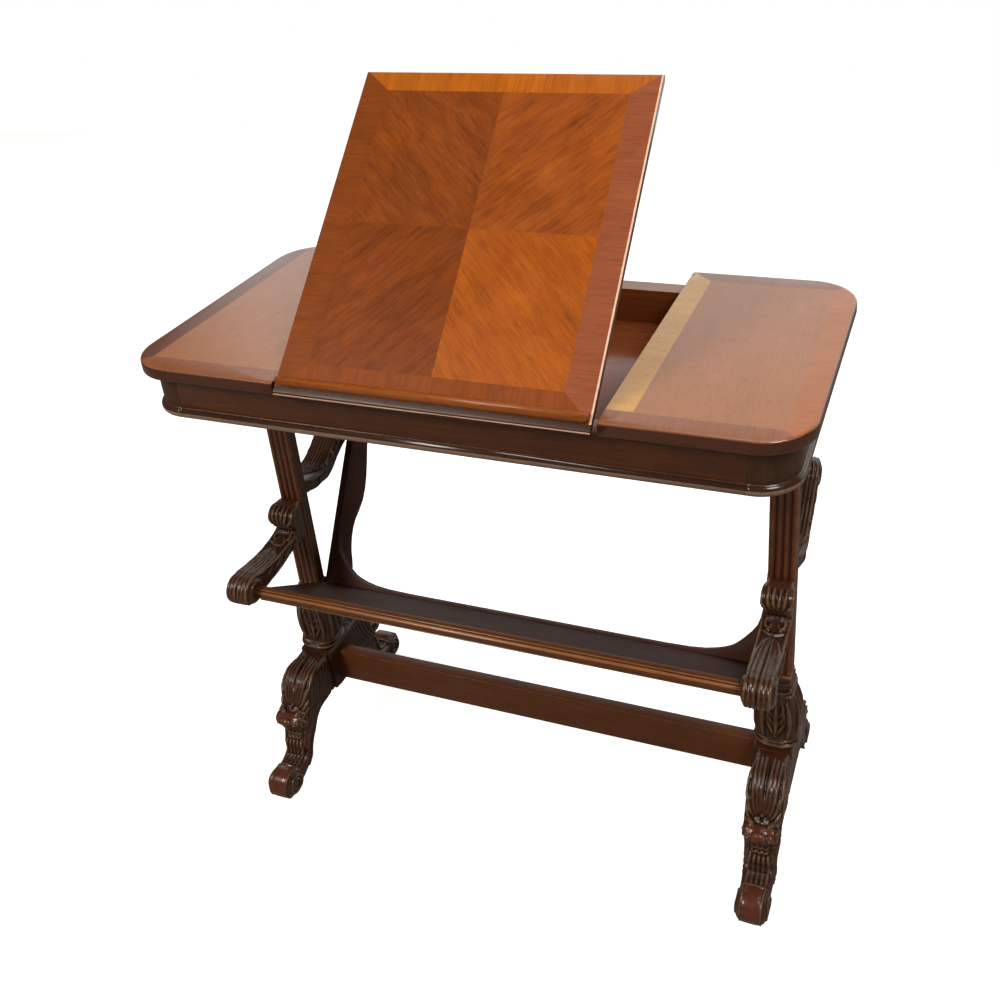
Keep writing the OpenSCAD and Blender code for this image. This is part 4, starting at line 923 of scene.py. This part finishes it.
floor_paint = bpy.data.materials.new("Pale floor")
tree = emptied(floor_paint)
seen = shader_node(tree, "LightPath", {}, None)
dim = shader_node(tree, "BsdfDiffuse", {"Color": (0.30, 0.27, 0.24, 1)})
matt = shader_node(tree, "BsdfDiffuse", {"Color": (0.86, 0.86, 0.85, 1)})
glow = shader_node(tree, "Emission", {"Color": (1, 1, 1, 1), "Strength": 0.78})
lit = shader_node(tree, "AddShader", {0: matt, 1: glow})
paint = shader_node(tree, "MixShader", {0: seen.outputs["Is Camera Ray"], 1: dim, 2: lit})
shader_node(tree, "OutputMaterial", {"Surface": paint}, None)
floor = sheet("floor", [(-6, -6, 0), (6, -6, 0), (6, 6, 0), (-6, 6, 0)], floor_paint)

wall_paint = bpy.data.materials.new("White backdrop")
tree = emptied(wall_paint)
seen = shader_node(tree, "LightPath", {}, None)
spread = shader_node(tree, "SeparateXYZ", {0: shader_node(tree, "TexCoord", {}, "Object")}, None)
shows = maths(tree, "MAXIMUM", seen.outputs["Is Camera Ray"], seen.outputs["Is Glossy Ray"])
shows = maths(tree, "MAXIMUM", shows, seen.outputs["Is Transmission Ray"])
fade = maths(tree, "MULTIPLY", ramp(tree, spread.outputs["X"], -3.7, -2.8, 0.1, 1.0),
             ramp(tree, spread.outputs["Z"], 2.3, 3.3, 1.0, 0.7))
fade = maths(tree, "MAXIMUM", fade, seen.outputs["Is Camera Ray"])
glow = shader_node(tree, "Emission", {"Strength": maths(tree, "MULTIPLY", ramp(tree, shows, 0, 1, 0.34, 1.0), fade)})
shader_node(tree, "OutputMaterial", {"Surface": glow}, None)
backdrop = sheet("backdrop", [(-6, 3.2, 0), (6, 3.2, 0), (6, 3.2, 4.2), (-6, 3.2, 4.2)], wall_paint)


def lamp(name, place, aim, size, power, colour=(1, 1, 1)):
    data = bpy.data.lights.new(name, "AREA")
    data.shape = "RECTANGLE"
    data.size, data.size_y = size
    data.energy = power
    data.color = colour
    light = shown(name, data)
    light.location = place
    light.rotation_euler = (Vector(aim) - Vector(place)).to_track_quat("-Z", "Y").to_euler()


lamp("key", (-1.3, -2.0, 2.4), (0, 0, 0.6), (0.8, 0.8), 44, (1.0, 0.95, 0.88))
lamp("fill", (1.5, -1.0, 2.6), (0.2, 0, 0.6), (0.8, 0.8), 28, (1.0, 0.97, 0.93))
lamp("top", (0.2, 0.6, 3.2), (0, 0, 0.7), (1.6, 1.0), 16)

# The camera's focal length and centre are in pixels of a picture 1000 pixels wide.
image_side, focal, centre = 1000.0, 1120.706, (542.954, 382.446)
stand = Vector((539.1, -1150.7, 1335.6)) * mm
turned = Vector((2.040, 0.326, -0.298))
view = Matrix.Rotation(turned.length, 3, turned.normalized())
axes = Matrix((view[0], -view[1], -view[2])).transposed()
lens = bpy.data.cameras.new("camera")
lens.sensor_width = 36.0
lens.lens = focal * 36.0 / image_side
lens.shift_x = (image_side / 2 - centre[0]) / image_side
lens.shift_y = (centre[1] - image_side / 2) / image_side
lens.clip_end = 50.0
camera = shown("camera", lens)
camera.matrix_world = Matrix.Translation(stand) @ axes.to_4x4()
bpy.context.scene.camera = camera
bpy.context.scene.view_settings.view_transform = "Standard"
